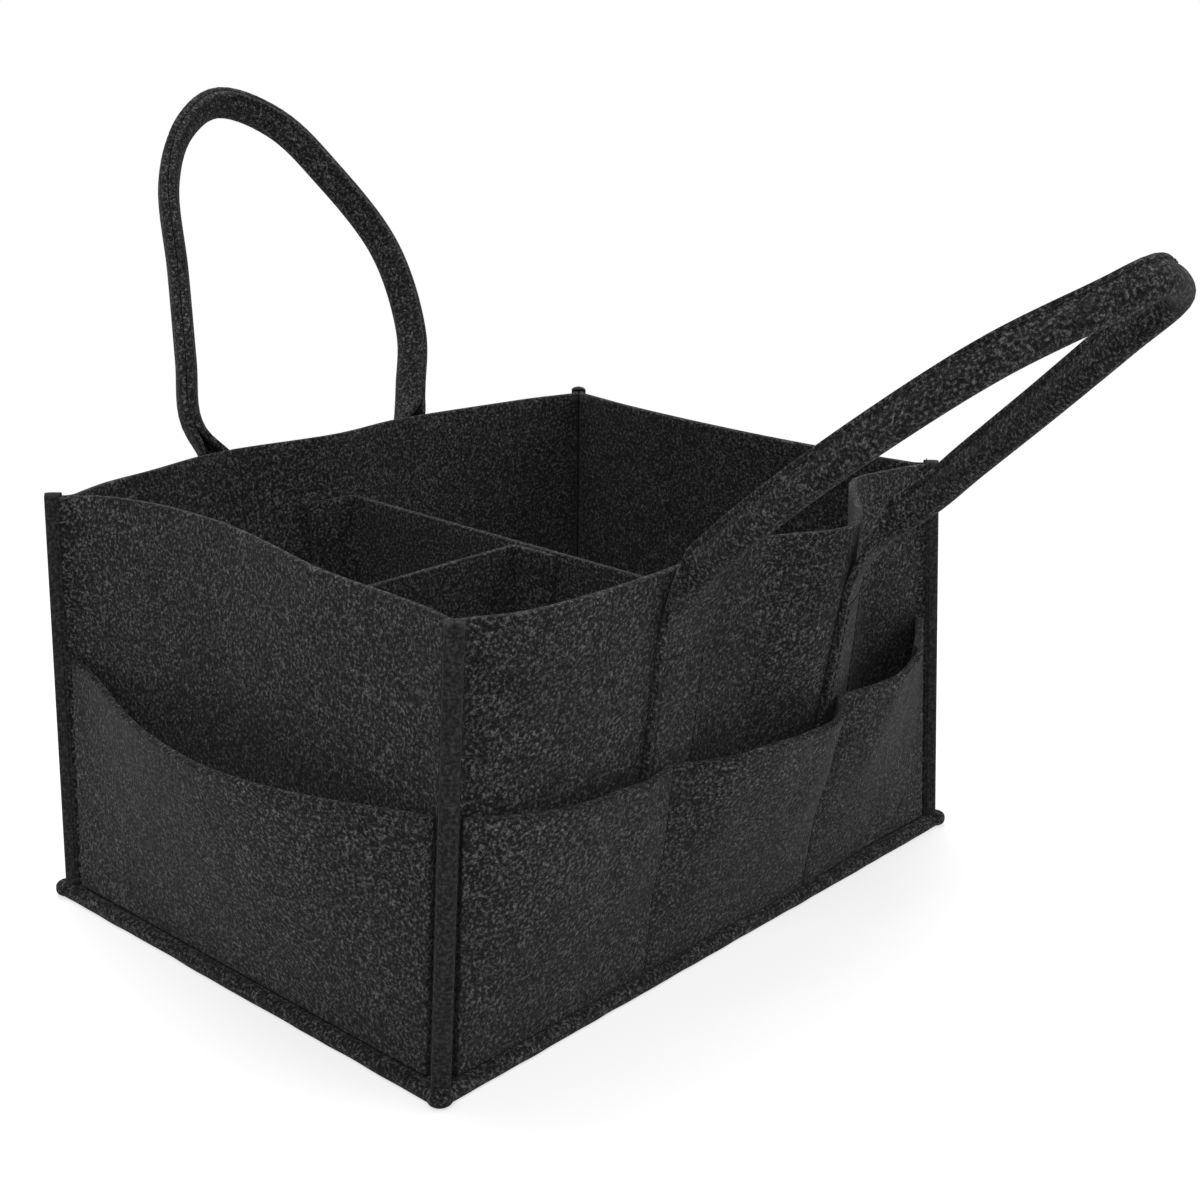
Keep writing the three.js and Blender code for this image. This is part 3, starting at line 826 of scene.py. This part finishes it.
# %% Pocket panels
POCKET_HEIGHT = 0.108
POCKET_INSET = 0.0012
POCKET_REST = 0.0005
POCKET_LIFT = 0.0008
BULGE_POWER = 1.2
POCKET_ROWS = 26
LIP_TOP = WALL_BOTTOM + LIP_LIFT + FELT
STRAP_WIDTH = 0.0315
BUMP_MARGIN = 0.002
BUMP_RAMP = 0.022
FOOT_BOTTOM = 0.070
BUMP_FADE = 0.030
STITCH_DIP = 0.0005
STITCH_DIP_WIDTH = 0.0016
GROOVE_HALF = 0.0009
FRONT_STITCH_SHARES = [0.335, 0.678]
REAR_STITCH_SHARES = [0.335, 0.665]
FRONT_FEET = [-0.049, 0.060]
REAR_FEET = [-0.061, 0.048]
long_rim = [(0, 0), (0.16, 0.5), (0.335, 1), (0.5, 0.75), (0.665, 0.8), (0.85, 0.4), (1, 0)]
end_rim = [(0, -0.6), (0.25, 0.8), (0.5, 1), (0.75, 0.7), (1, 0)]


class Pockets:
    def __init__(self, wall, bulges, rim_dip, rim_shares, stitch_shares=(), feet=()):
        self.wall, self.bulges = wall, bulges
        self.rim_dip, self.rim_shares = rim_dip, rim_shares
        self.stitch_shares, self.feet = list(stitch_shares), list(feet)
        self.first = POCKET_INSET / wall.length
        self.ends = [self.first, *self.stitch_shares, 1 - self.first]

    def bulge(self, share):
        k = 0
        while k < len(self.bulges) - 1 and share > self.ends[k + 1]:
            k += 1
        within = (share - self.ends[k]) / (self.ends[k + 1] - self.ends[k])
        return self.bulges[k] * math.sin(math.pi * min(max(within, 0), 1)) ** BULGE_POWER

    def foot_bump(self, share):
        reach = STRAP_WIDTH / 2 + BUMP_MARGIN
        rise = 0.0
        for x in self.feet:
            place = self.wall.share_of(x * self.wall.along.x)
            away = abs(share - place) * self.wall.length - reach
            rise = max(rise, 1 - smooth_step(away / BUMP_RAMP))
        return rise

    def dip(self, share):
        near = [abs(share - s) * self.wall.length for s in self.stitch_shares]
        return sum(STITCH_DIP * math.exp(-((d / STITCH_DIP_WIDTH) ** 2)) for d in near)

    def rim(self, share):
        return POCKET_HEIGHT - self.rim_dip * through_shares(self.rim_shares, share)

    def at(self, share, level, offset=0.0):
        low = LIP_TOP + POCKET_LIFT
        z = low + (self.rim(share) - low) * level
        over_foot = smooth_step((z - FOOT_BOTTOM + BUMP_FADE) / BUMP_FADE)
        rest = POCKET_REST + FELT / 2 + (FELT + TOUCH) * self.foot_bump(share) * over_foot
        gape = self.bulge(share) * level**BULGE_POWER
        return self.wall.at(share, z, rest + gape - self.dip(share) + offset)


def pocket_grid(pockets):
    first, wall = pockets.first, pockets.wall
    columns = round(wall.length / WALL_STEP)
    shares = [first + (1 - 2 * first) * share for share in even_shares(columns)]
    beside = (-GROOVE_HALF, 0, GROOVE_HALF)
    shares += [share + side / wall.length for share in pockets.stitch_shares for side in beside]
    return [
        [pockets.at(share, level) for level in even_shares(POCKET_ROWS)]
        for share in sorted(shares)
    ]


def make_pockets(name, pockets, node):
    grid = pocket_grid(pockets)
    piece = make_sheet(name, grid, charcoal_felt)
    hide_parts(node)
    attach(piece, "caddy_body")
    middle = [column[POCKET_ROWS // 2] for column in grid]
    height = max(run_length(column) for column in grid)
    run_length(middle)
    print(name, "has", len(piece.data.polygons), "faces")


front_pockets = Pockets(
    front_wall, [0.008, 0.022, 0.027], 0.008, long_rim, FRONT_STITCH_SHARES, FRONT_FEET
)
rear_pockets = Pockets(
    rear_wall, [0.010, 0.014, 0.010], 0.008, long_rim, REAR_STITCH_SHARES, REAR_FEET
)
make_pockets("felt_pockets_front", front_pockets, "front_pocket_panel")
make_pockets("felt_pockets_rear", rear_pockets, "rear_pocket_panel")
make_pockets("felt_pocket_left", Pockets(left_wall, [0.027], 0.005, end_rim), "left_end_pocket")
make_pockets("felt_pocket_right", Pockets(right_wall, [0.015], 0.005, end_rim), "right_end_pocket")

# %% [markdown]
# The parting lines of the long panels show as dark grooves with a row of stitches
# in them. The panel already dips there, so the thread follows the panel's own
# surface and sinks with it.

# %% Pocket stitches
SEAM_STEPS = 24


def pocket_seams(pockets):
    """Rows of thread down the parting lines, sunk in their groove."""
    paths = []
    for share in pockets.stitch_shares:
        path = []
        for level in even_shares(SEAM_STEPS):
            point = pockets.at(share, level, FELT / 2)
            path.append((point, pockets.wall.normal(share, point.z)))
        paths.append(path)
    return paths


sew(
    "pocket_stitches",
    pocket_seams(front_pockets) + pocket_seams(rear_pockets),
    "caddy_body",
)

# %% [markdown]
# ## The handles
#
# Each handle is one long strap. Its ends lie flat on the wall and are sewn down;
# between them it is folded double lengthwise and sewn shut, which leaves a narrow
# fin along one side. The section is worked out the way felt behaves: it bends
# tightly at the fold, runs down a full side, and bends back into the fin. A fold
# from 0 to 1 scales every bend, so the strap closes gradually above its foot.

# %% Strap section
FOLD_RADIUS = 0.0033
FOLD_TURN = math.radians(78)
SIDE_RADIUS = 0.009
NOTCH_RADIUS = 0.002


def fold_runs():
    reach = LAYER_OFFSET + NOTCH_RADIUS + (SIDE_RADIUS - FOLD_RADIUS) * math.sin(FOLD_TURN)
    closing = math.acos(reach / (SIDE_RADIUS + NOTCH_RADIUS))
    fold = FOLD_RADIUS * FOLD_TURN
    side = SIDE_RADIUS * (math.pi / 2 + closing - FOLD_TURN)
    notch = NOTCH_RADIUS * closing
    return [
        (fold, 1 / FOLD_RADIUS, 5),
        (side, 1 / SIDE_RADIUS, 6),
        (notch, -1 / NOTCH_RADIUS, 2),
        (STRAP_WIDTH / 2 - fold - side - notch, 0.0, 3),
    ]


def half_section(fold):
    points = [(0.0, 0.0)]
    finer = 4
    x = y = heading = 0.0
    for length, curve, cuts in fold_runs():
        step = length / cuts / finer
        for k in range(1, cuts * finer + 1):
            middle = heading + curve * fold * step / 2
            x += math.cos(middle) * step
            y += math.sin(middle) * step
            heading += curve * fold * step
            if k % finer == 0:
                points.append((x, y))
    return points


def strap_section(fold):
    half = half_section(fold)
    return [(-x, y) for x, y in reversed(half[1:])] + half


print("folded strap is", round(max(y for _, y in strap_section(1)), 4), "m deep")

# %% [markdown]
# ## The line each strap follows
#
# The loop is a smooth curve through a few points in a leaning plane. The points
# are shares of the handle's height and of the distance between its feet, one set
# for each arm, because the felt flops to one side. The folded strap may also turn
# about its own line, which is the twist. Below the hinge line the strap lies on
# the wall and peels away from it near the rim.

# %% Handle lines
PEEL_HEIGHT = 0.148
HINGE_HEIGHT = 0.174
HINGE_STANDOFF = 0.008
FOLD_START = -0.004
FOLD_LENGTH = 0.016
ARM_HEIGHTS = [0, 0.11, 0.27, 0.53, 0.78, 0.93, 1]
ARM_STEPS = 24
LOOK_ALONG = 0.003
LOOP_STEPS = 90
FIN_START = 0.016
FIN_LINE = 0.0022
FOOT_ROWS = 26
BRIDGE_STEPS = 7
BRIDGE_RUN = 0.010
BRIDGE_LOOK = 0.004
FOOT_BLEND = 0.164


def centripetal_curve(points, steps):
    """A smooth curve through points, with even-looking bends."""
    ahead = points[0] * 2 - points[1]
    behind = points[-1] * 2 - points[-2]
    padded = [ahead, *points, behind]
    curve = []
    for i in range(len(points) - 1):
        p0, p1, p2, p3 = padded[i : i + 4]
        d0, d1, d2 = (p1 - p0).length ** 0.5, (p2 - p1).length ** 0.5, (p3 - p2).length ** 0.5
        t1 = ((p1 - p0) / d0 - (p2 - p0) / (d0 + d1) + (p2 - p1) / d1) * d1
        t2 = ((p2 - p1) / d1 - (p3 - p1) / (d1 + d2) + (p3 - p2) / d2) * d1
        for k in range(steps):
            t = k / steps
            bend = p1 * -3 + p2 * 3 - t1 * 2 - t2
            curl = p1 * 2 - p2 * 2 + t1 + t2
            curve.append(p1 + t1 * t + bend * t * t + curl * t**3)
    curve.append(points[-1])
    return curve


class Handle:
    def __init__(self, wall, feet, height, lean, twist, sideways_share, left_arm, right_arm):
        self.wall = wall
        self.twist = math.radians(twist)
        sign = wall.outward.y
        self.ends = [self.hinge_end(x, sign) for x in feet]
        self.sideways = (self.ends[1] - self.ends[0]).normalized()
        self.out = self.sideways.cross(UP) * -sign
        angle = math.radians(lean)
        self.rise = self.out * math.sin(angle) + UP * math.cos(angle)
        self.inner = UP * math.sin(angle) - self.out * math.cos(angle)
        middle = self.ends[0].lerp(self.ends[1], 0.5)
        half = (self.ends[1] - self.ends[0]).length / 2
        arms = [(-half * w, height * t) for w, t in zip(left_arm, ARM_HEIGHTS)]
        arms += [(half * w, height * t) for w, t in zip(right_arm, ARM_HEIGHTS)][-2::-1]
        points = [
            middle + self.sideways * (u + v * sideways_share) + self.rise * v for u, v in arms
        ]
        self.line = centripetal_curve(points, ARM_STEPS)
        self.lengths = [0.0]
        for a, b in zip(self.line, self.line[1:]):
            self.lengths.append(self.lengths[-1] + (b - a).length)
        self.total = self.lengths[-1]

    def hinge_end(self, x, sign):
        across = [(share - 0.5) * STRAP_WIDTH for share in even_shares(4)]
        out = [self.wall.at_x(x + dx, HINGE_HEIGHT, 0).dot(self.wall.outward) for dx in across]
        return Vector((x, sign * (max(out) + HINGE_STANDOFF), HINGE_HEIGHT))

    def centre(self, length):
        i = 0
        while i < len(self.lengths) - 2 and self.lengths[i + 1] < length:
            i += 1
        span = self.lengths[i + 1] - self.lengths[i]
        return self.line[i].lerp(self.line[i + 1], (length - self.lengths[i]) / span)

    def fold(self, length):
        from_end = min(length, self.total - length)
        return smooth_step((from_end - FOLD_START) / FOLD_LENGTH)

    def frame(self, length):
        """The strap's middle here, the way across it, and the way to its fin."""
        before, after = max(length - LOOK_ALONG, 0), min(length + LOOK_ALONG, self.total)
        tangent = (self.centre(after) - self.centre(before)).normalized()
        square = tangent.cross(self.inner).normalized()
        side = 1 if square.dot(self.sideways) > 0 else -1
        fold = self.fold(length)
        turn = Matrix.Rotation(self.twist * fold, 3, tangent)
        across = turn @ (self.sideways * side).lerp(square, fold).normalized()
        return self.centre(length), across, turn @ self.inner

    def loop_row(self, length):
        centre, across, inner = self.frame(length)
        return [centre - across * x + inner * y for x, y in strap_section(self.fold(length))]

    def fin_seam(self, side):
        """The row of thread down one face of the fin."""
        rise = strap_section(1)[-1][1] - FIN_LINE
        run = self.total - 2 * FIN_START
        path = []
        for share in even_shares(LOOP_STEPS):
            centre, across, inner = self.frame(FIN_START + run * share)
            out = across * side
            path.append((centre + out * (LAYER_OFFSET + FELT / 2) + inner * rise, out))
        return path

    def foot_row(self, which, z):
        end = self.ends[which]
        peel = max(0.0, (z - PEEL_HEIGHT) / (HINGE_HEIGHT - PEEL_HEIGHT)) ** 2
        row = []
        for x, _ in strap_section(0):
            side = self.foot_side(which) * x
            on_wall = self.wall.at_x(end.x + side, z, TOUCH + FELT / 2)
            on_hinge = end + self.sideways * side
            on_hinge.z = z
            row.append(on_wall.lerp(on_hinge, peel))
        return row

    def foot_side(self, which):
        """Which way the section runs at a foot, so its columns meet the loop's."""
        row = self.loop_row(BRIDGE_RUN if which == 0 else self.total - BRIDGE_RUN)
        return 1 if (row[-1] - row[0]).dot(self.sideways) > 0 else -1

    def bridge_rows(self, which):
        """Rows that carry the strap smoothly from its foot over the hinge line."""
        step = BRIDGE_LOOK
        low, below = self.foot_row(which, FOOT_BLEND), self.foot_row(which, FOOT_BLEND - step)
        place = BRIDGE_RUN if which == 0 else self.total - BRIDGE_RUN
        beyond = place + step if which == 0 else place - step
        high, above = self.loop_row(place), self.loop_row(beyond)
        gap = sum((b - a).length for a, b in zip(low, high)) / len(low)
        rows = []
        for k in range(1, BRIDGE_STEPS):
            t = k / BRIDGE_STEPS
            h1 = 2 * t**3 - 3 * t**2 + 1
            h2, h3 = t**3 - 2 * t**2 + t, t**3 - t**2
            row = []
            for a, a0, b, b1 in zip(low, below, high, above):
                leave, arrive = (a - a0) / step * gap, (b1 - b) / step * gap
                row.append(a * h1 + b * (1 - h1) + leave * h2 + arrive * h3)
            rows.append(row)
        return rows

    def rows(self):
        heights = [
            FOOT_BOTTOM + (FOOT_BLEND - FOOT_BOTTOM) * share for share in even_shares(FOOT_ROWS)
        ]
        run = self.total - 2 * BRIDGE_RUN
        lengths = [BRIDGE_RUN + run * share for share in even_shares(LOOP_STEPS)]
        rows = [self.foot_row(0, z) for z in heights] + self.bridge_rows(0)
        rows += [self.loop_row(length) for length in lengths]
        rows += self.bridge_rows(1)[::-1] + [self.foot_row(1, z) for z in reversed(heights)]
        return rows


front_handle = Handle(
    front_wall, FRONT_FEET, 0.1781, 48.2, 0, 0.117,
    [1, 1.075, 1.115, 1.025, 0.75, 0.26, 0], [1, 1.075, 0.955, 0.795, 0.605, 0.48, 0],
)
rear_handle = Handle(
    rear_wall, REAR_FEET, 0.1709, 30.8, -28.5, 0.087,
    [1, 1.125, 1.02, 0.85, 0.7, 0.415, 0], [1, 1.14, 1.33, 1.31, 0.9, 0.525, 0],
)
print("loops measure", round(front_handle.total, 3), "and", round(rear_handle.total, 3))

# %% [markdown]
# ## Handle straps
#
# One mesh runs from the bottom of one foot, over the loop, to the bottom of the
# other. Just above its foot the felt bends from the wall into the loop, so the strap
# is blended across the hinge and not cut in two.

# %% Make the straps
BLEND_BELOW = 0.010
BLEND_ABOVE = 0.012


def bend_zone(handle):
    """Two points on a line through the hinge, below and above where the felt bends."""
    hinge = handle.ends[0].lerp(handle.ends[1], 0.5)
    return hinge - UP * BLEND_BELOW, hinge + handle.rise * BLEND_ABOVE


def make_strap(side, handle):
    rows = handle.rows()
    grid = [[row[i] for row in rows] for i in range(len(rows[0]))]
    piece = make_sheet(f"felt_strap_{side}", grid, charcoal_felt, FELT, CUT_ROUND)
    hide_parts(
        f"{side}_handle_loop",
        f"{side}_handle_foot_left",
        f"{side}_handle_foot_right",
    )
    start, end = bend_zone(handle)
    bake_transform(piece)
    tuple(start)
    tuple(end)


make_strap("front", front_handle)
make_strap("rear", rear_handle)

# %% [markdown]
# The fin is sewn shut along its whole length. Each foot is held by a box of
# stitches, set in from the strap's edges and closed below the rim, where the
# strap starts to stand off the wall. The fin's thread asks the handle for its
# place and the box asks the wall, so both stay on the felt if a size changes.

# %% Handle stitches
BOX_INSET = 0.003
BOX_TOP = 0.146
BOX_STEPS = 12


def foot_seam(handle, which):
    wall, end = handle.wall, handle.ends[which]
    reach = STRAP_WIDTH / 2 - BOX_INSET
    places = [(-reach, FOOT_BOTTOM), (-reach, BOX_TOP), (reach, BOX_TOP), (reach, FOOT_BOTTOM)]
    path = []
    for (x0, z0), (x1, z1) in zip(places, places[1:]):
        for share in even_shares(BOX_STEPS):
            x, z = end.x + x0 + (x1 - x0) * share, z0 + (z1 - z0) * share
            point = wall.at_x(x, z, TOUCH + FELT)
            path.append((point, wall.normal(wall.share_of(x * wall.along.x), z)))
    return path


sew("front_fin_stitches", [front_handle.fin_seam(s) for s in (-1, 1)], "front_handle")
sew("rear_fin_stitches", [rear_handle.fin_seam(s) for s in (-1, 1)], "rear_handle")
sew(
    "foot_stitches",
    [foot_seam(handle, which) for handle in (front_handle, rear_handle) for which in (0, 1)],
    "caddy_body",
)

# %% [markdown]
# ## The divider
#
# Inside stand two upright sheets: one across the caddy and one that parts its left
# half. Their ends turn at right angles into tabs, and a strip of hook tape on each
# tab grips the felt wall. A sheet like that is a path seen from above, drawn again
# at each height, so the tabs follow the lean and the bow of the walls.

# %% Divider sheets
DIVIDER_LOW, DIVIDER_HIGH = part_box("cross_divider")[0].z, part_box("cross_divider")[1].z
LONG_DIVIDER_Y = 0.004
TAB_WIDTH = 0.024
TAB_TURN = 0.003
HOOK_TAPE = 0.0012
TAB_OFFSET = -(FELT + TOUCH + HOOK_TAPE + TOUCH + FELT / 2)
DIVIDER_ROWS = 20
TURN_STEPS = 4


def soft_path(places, radius):
    """Round the corners of a path with short quadratic curves."""
    path = [places[0]]
    for before, here, after in zip(places, places[1:], places[2:]):
        a = here + (before - here).normalized() * min(radius, (before - here).length / 2)
        b = here + (after - here).normalized() * min(radius, (after - here).length / 2)
        path += [a.lerp(here, t).lerp(here.lerp(b, t), t) for t in even_shares(TURN_STEPS)]
    path.append(places[-1])
    return path


def upright_grid(path_at, radius):
    rows = []
    for share in even_shares(DIVIDER_ROWS):
        z = DIVIDER_LOW + (DIVIDER_HIGH - DIVIDER_LOW) * share
        rows.append(soft_path(path_at(z), radius))
    return [[row[i] for row in rows] for i in range(len(rows[0]))]


def cross_path(z):
    def tab(wall, x):
        return wall.at_x(x, z, TAB_OFFSET)

    def turned(wall):
        point = tab(wall, 0)
        point.x = 0
        return point

    front, rear = turned(front_wall), turned(rear_wall)
    web = [front.lerp(rear, share) for share in (0.25, 0.5, 0.75)]
    return [tab(front_wall, -TAB_WIDTH), front, *web, rear, tab(rear_wall, -TAB_WIDTH)]


long_low, long_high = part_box("long_divider")
LONG_LEFT = long_low.x + FELT / 2
LONG_RIGHT = long_high.x - FELT / 2


def long_path(z):
    y = LONG_DIVIDER_Y
    places = [(LONG_LEFT, y + TAB_WIDTH), (LONG_LEFT, y), ((LONG_LEFT + LONG_RIGHT) / 2, y)]
    places += [(LONG_RIGHT, y), (LONG_RIGHT, y - TAB_WIDTH)]
    return [Vector((x, y, z)) for x, y in places]


def make_divider(name, path_at, node):
    piece = make_sheet(name, upright_grid(path_at, TAB_TURN), charcoal_felt)
    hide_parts(node)
    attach(piece, "divider")


make_divider("felt_divider_cross", cross_path, "cross_divider")
make_divider("felt_divider_long", long_path, "long_divider")

# %% [markdown]
# ## Hook tape
#
# The hook strips are thin and stand between a tab and the wall, so only their
# edges show. Their CAD solids have the right shape already and only need their
# own finish.

# %% Hook tapes
for node in ("hook_tape_front", "hook_tape_rear", "hook_tape_left"):
    strip = frame["nodes"][node]
    strip.data.materials.clear()
    strip.data.materials.append(hook_tape)
print("hook tapes finished")

# %% [markdown]
# ## Floor and light
#
# The object stands on a plain white floor, under soft light from above and a
# little from the camera's side. The floor shows nearly white to the camera and
# still takes the object's shadow: its material mixes a lit surface with plain
# white for camera rays only, so the white never lights the felt.

# %% Floor
FLOOR_SIZE = 40.0
NEAR_WHITE = 0.6
FADE_FROM = 0.35
FADE_TO = 0.8


def fade_outwards(tree):
    """A share that is NEAR_WHITE round the object and grows to 1 further out."""
    place = tree.nodes.new("ShaderNodeTexCoord").outputs["Object"]
    away = tree.nodes.new("ShaderNodeVectorMath")
    away.operation = "LENGTH"
    tree.links.new(place, away.inputs[0])
    fade = tree.nodes.new("ShaderNodeMapRange")
    fade.interpolation_type = "SMOOTHSTEP"
    limits = {"From Min": FADE_FROM, "From Max": FADE_TO, "To Min": NEAR_WHITE, "To Max": 1.0}
    for name, value in limits.items():
        fade.inputs[name].default_value = value
    tree.links.new(away.outputs["Value"], fade.inputs["Value"])
    return fade.outputs["Result"]


def seen_directly(tree):
    """1 for rays from the eye, and for those that a gloss or a glass sends on."""
    path = tree.nodes.new("ShaderNodeLightPath")
    seen = path.outputs["Is Camera Ray"]
    for other in ("Is Glossy Ray", "Is Transmission Ray"):
        either = tree.nodes.new("ShaderNodeMath")
        either.operation = "MAXIMUM"
        tree.links.new(seen, either.inputs[0])
        tree.links.new(path.outputs[other], either.inputs[1])
        seen = either.outputs[0]
    return seen


def make_floor():
    material, tree, shader = new_material("white_floor", 1.0)
    shader.inputs["Base Color"].default_value = (0.9, 0.9, 0.9, 1)
    shader.inputs["Specular IOR Level"].default_value = 0.0
    share = tree.nodes.new("ShaderNodeMath")
    share.operation = "MULTIPLY"
    tree.links.new(seen_directly(tree), share.inputs[0])
    tree.links.new(fade_outwards(tree), share.inputs[1])
    white = tree.nodes.new("ShaderNodeEmission")
    mix = tree.nodes.new("ShaderNodeMixShader")
    tree.links.new(share.outputs[0], mix.inputs["Fac"])
    tree.links.new(shader.outputs["BSDF"], mix.inputs[1])
    tree.links.new(white.outputs["Emission"], mix.inputs[2])
    tree.links.new(mix.outputs["Shader"], tree.nodes["Material Output"].inputs["Surface"])
    mesh = bpy.data.meshes.new("floor")
    half = FLOOR_SIZE / 2
    corners = [(-half, -half, 0), (half, -half, 0), (half, half, 0), (-half, half, 0)]
    mesh.from_pydata(corners, [], [(0, 1, 2, 3)])
    mesh.materials.append(material)
    floor = new_object("floor", mesh)


make_floor()
print("floor fades to white from", FADE_FROM, "to", FADE_TO, "m")

# %% [markdown]
# Three large soft lamps stand in for a photo tent. One hangs high on the left and
# one on the right, both towards the camera. The strongest hangs overhead, a little
# behind, because rims and the tops of the handles are the brightest in the
# photograph.

# %% Lights
def add_lamp(name, place, aim, size, power):
    data = bpy.data.lights.new(name, "AREA")
    data.shape = "DISK"
    data.size = size
    data.energy = power
    lamp = new_object(name, data)
    lamp.location = place
    lamp.rotation_euler = (Vector(aim) - Vector(place)).to_track_quat("-Z", "Y").to_euler()
    return lamp


AIM = (0, 0, 0.1)
lamps = [
    add_lamp("key_lamp", (-1.3, -0.9, 1.7), AIM, 1.4, 34),
    add_lamp("fill_lamp", (1.2, -1.6, 1.1), AIM, 1.6, 17),
    add_lamp("top_lamp", (0.3, 0.8, 2.0), AIM, 1.8, 44),
]


def light_the_world():
    world = bpy.data.worlds.new("studio")
    bpy.context.scene.world = world
    world.use_nodes = True
    tree = world.node_tree
    background = tree.nodes["Background"]
    background.inputs["Color"].default_value = (1, 1, 1, 1)
    background.inputs["Strength"].default_value = 0.45
    seen = tree.nodes.new("ShaderNodeBackground")
    seen.inputs["Color"].default_value = (1, 1, 1, 1)
    seen.inputs["Strength"].default_value = 1.0
    mix = tree.nodes.new("ShaderNodeMixShader")
    tree.links.new(seen_directly(tree), mix.inputs["Fac"])
    tree.links.new(background.outputs["Background"], mix.inputs[1])
    tree.links.new(seen.outputs["Background"], mix.inputs[2])
    tree.links.new(mix.outputs["Shader"], tree.nodes["World Output"].inputs["Surface"])


light_the_world()
bpy.context.scene.view_settings.view_transform = "Standard"
print("lamps:", [lamp.name for lamp in lamps])
